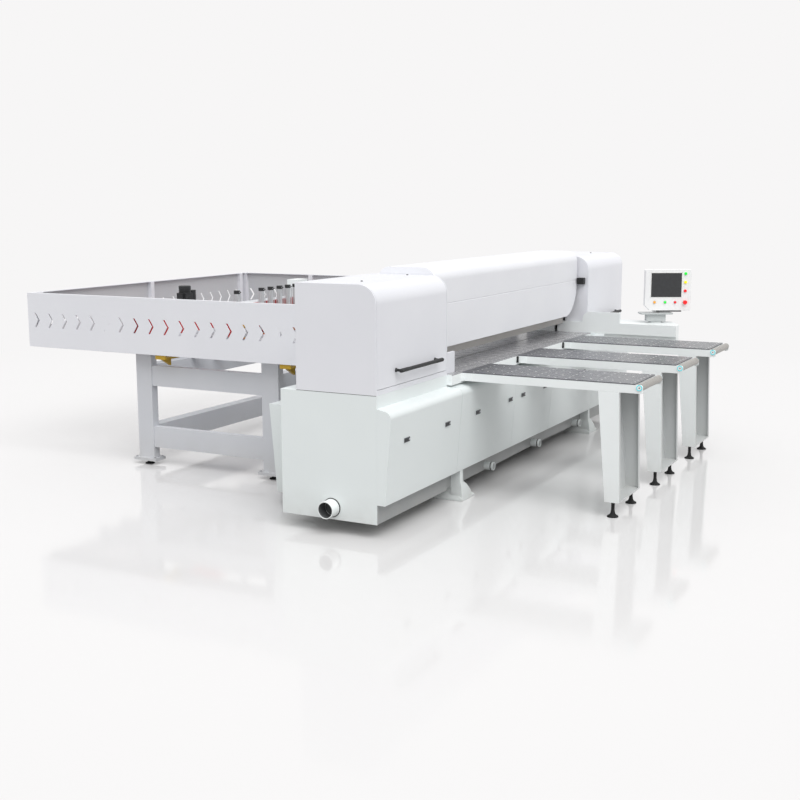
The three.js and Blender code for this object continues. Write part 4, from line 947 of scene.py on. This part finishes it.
def latch_face(node, x):
    """Centre and normal of the latch frame's outer face, found on the cover's own mesh."""
    level, best = at(x, 0, latch_height), None
    for face in frame["nodes"][node].data.polygons:
        centre = face.center
        if (abs(centre.x - level.x) < 0.03 and abs(centre.z - level.z) < 0.02
                and face.normal.y < -0.8 and (best is None or centre.y < best[0].y - 0.0004)):
            best = (centre.copy(), face.normal.copy())
    return best


for number, middles in enumerate(latch_middles, 1):
    node = f"front_cover_{number}"
    shop = Workshop()
    for x in middles:
        spot, normal = latch_face(node, x)
        level = at(x, 0, latch_height)
        slope = -(level.z - spot.z) * normal.z / normal.y
        face = Vector((level.x, spot.y + slope, level.z))
        lean = Matrix.Rotation(-math.asin(normal.z), 3, "X")
        for low, high, look in (
                ((-0.0380, -0.0010, -0.0150), (0.0380, 0.0030, 0.0150), grip_grey),
                ((-0.0330, -0.0026, -0.0095), (0.0170, -0.0006, 0.0095), machine_black),
                ((0.0220, -0.0030, -0.0050), (0.0320, -0.0006, 0.0050), silver_tube)):
            shop.pressed(face + Vector(low), face + Vector(high), look, 0.0005, face, lean)
    ride(shop.finish(f"cover_latches_{number}"), node, "dark_grey")
print("latches", sum(len(middles) for middles in latch_middles))

# %% [markdown]
# ## Pendant trim
# The control pendant has a pale gasket round its screen, chromed collars round the push buttons,
# three lamp lenses and a black strip under the housing, where it meets its arm, painted as the
# shade that falls there.

# %% Screen gasket, collars, lenses and strip
face_y, lamp_x, button_z, gasket = -75, 252, 192.5, 7
inward = swivel_turn @ Vector((0, 1, 0))
shop = Workshop()


def pendant_block(x_low, x_high, y_low, y_high, z_low, z_high, look):
    low = swivel + Vector((x_low, y_low, z_low)) / 1000
    high = swivel + Vector((x_high, y_high, z_high)) / 1000
    shop.pressed(low, high, look, 0.0008, swivel, swivel_turn)


bottom, top, left, right_side = 239.5, 461.5, -62, 218
for x_low, x_high, z_low, z_high in (
        (left - gasket, right_side + gasket, top, top + gasket),
        (left - gasket, right_side + gasket, bottom - gasket, bottom),
        (left - gasket, left, bottom - 6.8, top + 6.8),
        (right_side, right_side + gasket, bottom - 6.8, top + 6.8)):
    pendant_block(x_low, x_high, face_y - 1.6, face_y + 1, z_low, z_high, valve_white)
# A black block under the housing: painted shade where it overhangs its arm.
pendant_block(0, 225, face_y + 8, face_y + 58, 104, 116.2, machine_black)
for share in (0.21, 0.44, 0.66):
    shop.turned(on_pendant(-116 + 422 * share, face_y + 1, button_z), -inward,
                coated(silver_tube, (12.5, 0), (15.5, 0), (15.0, 3), (12.5, 3.5)),
                sides=24, closed=True)
shop.turned(on_pendant(lamp_x, face_y + 0.5, button_z), -inward,
            coated(silver_tube, (12.5, 0), (20.5, 0), (19.5, 3), (12.5, 3.5)),
            sides=28, closed=True)
for share, look in ((0.9, lamp_green), (0.69, lamp_yellow), (0.48, lamp_red)):
    shop.turned(on_pendant(lamp_x, face_y + 0.5, 116.5 + 377 * share), -inward, [
        *coated(look, (0, 0)), *coated(silver_tube, (15.0, 0), (15.0, 2), (13.5, 2.5)),
        *coated(look, (13.0, 9), (10.0, 11.8), (0, 12.5))], sides=24)
ride(shop.finish("pendant_trim"), "pendant", "dark_grey")
print("pendant trim ready")

# %% [markdown]
# ## Grippers and the pusher's drive
# Each gripper is closed by an air cylinder held by four tie rods between its end caps, with two
# small air fittings. The pusher's motor has a finned jacket, a fan cover and a terminal box.

# %% Tie rods, fittings and motor jacket
rod_reach, rod_foot, fitting_y = 24, 1180, 2637.5
rod_spots = [(at(x + dx, cylinder_y + dy, rod_foot), up_way) for x in gripper_x
             for dx in (-rod_reach, rod_reach) for dy in (-rod_reach, rod_reach)]
hardware("cylinder_tie_rods", "pusher", "steel", tie_rod, silver_tube, rod_spots)
fitting = [*coated(silver_tube, (0, 0), (7, 0), (7, 6)),
           *coated(black_plastic, (5, 7), (5, 14), (0, 14))]
shop = Workshop()
for x in gripper_x:
    for z in (1166, 1364):
        shop.turned(at(x, fitting_y, z), (0, -1, 0), fitting, sides=12)
fins = [point for rise in range(4, 130, 14)
        for point in ((50, rise), (54.5, rise + 1), (54.5, rise + 5), (50, rise + 6))]
shop.turned(at(-855.7, 2840, 1290), up_way, coated(
    machine_black, (0, 0), *fins, (53, 134), (53, 158), (46, 163), (0, 163)), sides=28)
shop.pressed(at(-925, 2812, 1310), at(-900, 2868, 1390), machine_black, 0.003)
ride(shop.finish("pusher_fittings"), "pusher", "dark_grey")
print("tie rods", len(rod_spots))

# %% [markdown]
# ## Studio
# A pale glossy floor and a white surround keep the machine readable. The floor is plain near the
# machine, where it takes a soft shadow and a mirror image, and melts into the backdrop's own white
# farther out, so that no horizon shows. A wide sun from over the near end shapes the panels.

# %% Floor, surround and sun
backdrop = linear(247, 246, 246)
floor_reach, melt_start, melt_end = 90, 3.5, 9.0


def seen_plainly(nodes, links):
    """1 for the camera and for mirror images, 0 for the light that falls on the machine."""
    path = nodes.new("ShaderNodeLightPath")
    either = nodes.new("ShaderNodeMath")
    either.operation = "MAXIMUM"
    links.new(path.outputs["Is Camera Ray"], either.inputs[0])
    links.new(path.outputs["Is Glossy Ray"], either.inputs[1])
    return either.outputs[0]


def surround_world():
    world = bpy.data.worlds.new("pale_studio")
    world.use_nodes = True
    nodes, links = world.node_tree.nodes, world.node_tree.links
    back = nodes["Background"]
    back.inputs["Color"].default_value = (1, 1, 1, 1)
    back.inputs["Strength"].default_value = 0.79
    seen = nodes.new("ShaderNodeBackground")
    seen.inputs["Color"].default_value = backdrop
    choose = nodes.new("ShaderNodeMixShader")
    links.new(seen_plainly(nodes, links), choose.inputs[0])
    links.new(back.outputs[0], choose.inputs[1])
    links.new(seen.outputs[0], choose.inputs[2])
    links.new(choose.outputs[0], nodes["World Output"].inputs["Surface"])
    scene.world = world


def sun(name, towards, strength, width):
    data = bpy.data.lights.new(name, "SUN")
    data.energy = strength
    data.angle = math.radians(width)
    made = bpy.data.objects.new(name, data)
    made.rotation_euler = Vector(towards).to_track_quat("Z", "Y").to_euler()
    scene.collection.objects.link(made)


def floor_finish():
    pale = Finish("pale_floor", (230, 229, 229), 0.08)
    pale.vary_gloss(pale.noise(0.8, 3), 0.06, 0.10)
    seen = seen_plainly(pale.nodes, pale.links)
    pale.mix_colour(pale.band(seen, 0, 1, 1, 0), (170, 168, 167))
    distance = pale.node("ShaderNodeVectorMath", operation="LENGTH")
    pale.links.new(pale.place, distance.inputs[0])
    glow = pale.node("ShaderNodeEmission")
    glow.inputs["Color"].default_value = backdrop
    pale.links.new(pale.band(seen, 0, 1, 0.45, 1.0), glow.inputs["Strength"])
    melt = pale.node("ShaderNodeMixShader")
    far_out = pale.band(distance.outputs["Value"], melt_start, melt_end, 0.0, 1.0)
    pale.links.new(far_out, melt.inputs[0])
    pale.links.new(pale.shader.outputs[0], melt.inputs[1])
    pale.links.new(glow.outputs[0], melt.inputs[2])
    pale.links.new(melt.outputs[0], pale.nodes["Material Output"].inputs["Surface"])
    return pale.material


surround_world()
sun("wide_sun", (-0.48, -0.55, 1.0), 1.75, 50)
floor_mesh = bpy.data.meshes.new("studio_floor")
corners = [(x * floor_reach, y * floor_reach, 0) for x, y in ((-1, -1), (1, -1), (1, 1), (-1, 1))]
floor_mesh.from_pydata(corners, [], [(0, 1, 2, 3)])
floor_mesh.materials.append(floor_finish())
studio_floor = bpy.data.objects.new("studio_floor", floor_mesh)
scene.collection.objects.link(studio_floor)
for part in patterns:
    bpy.data.objects.remove(part)
scene.view_settings.view_transform = "Standard"
print("floor and sun ready")
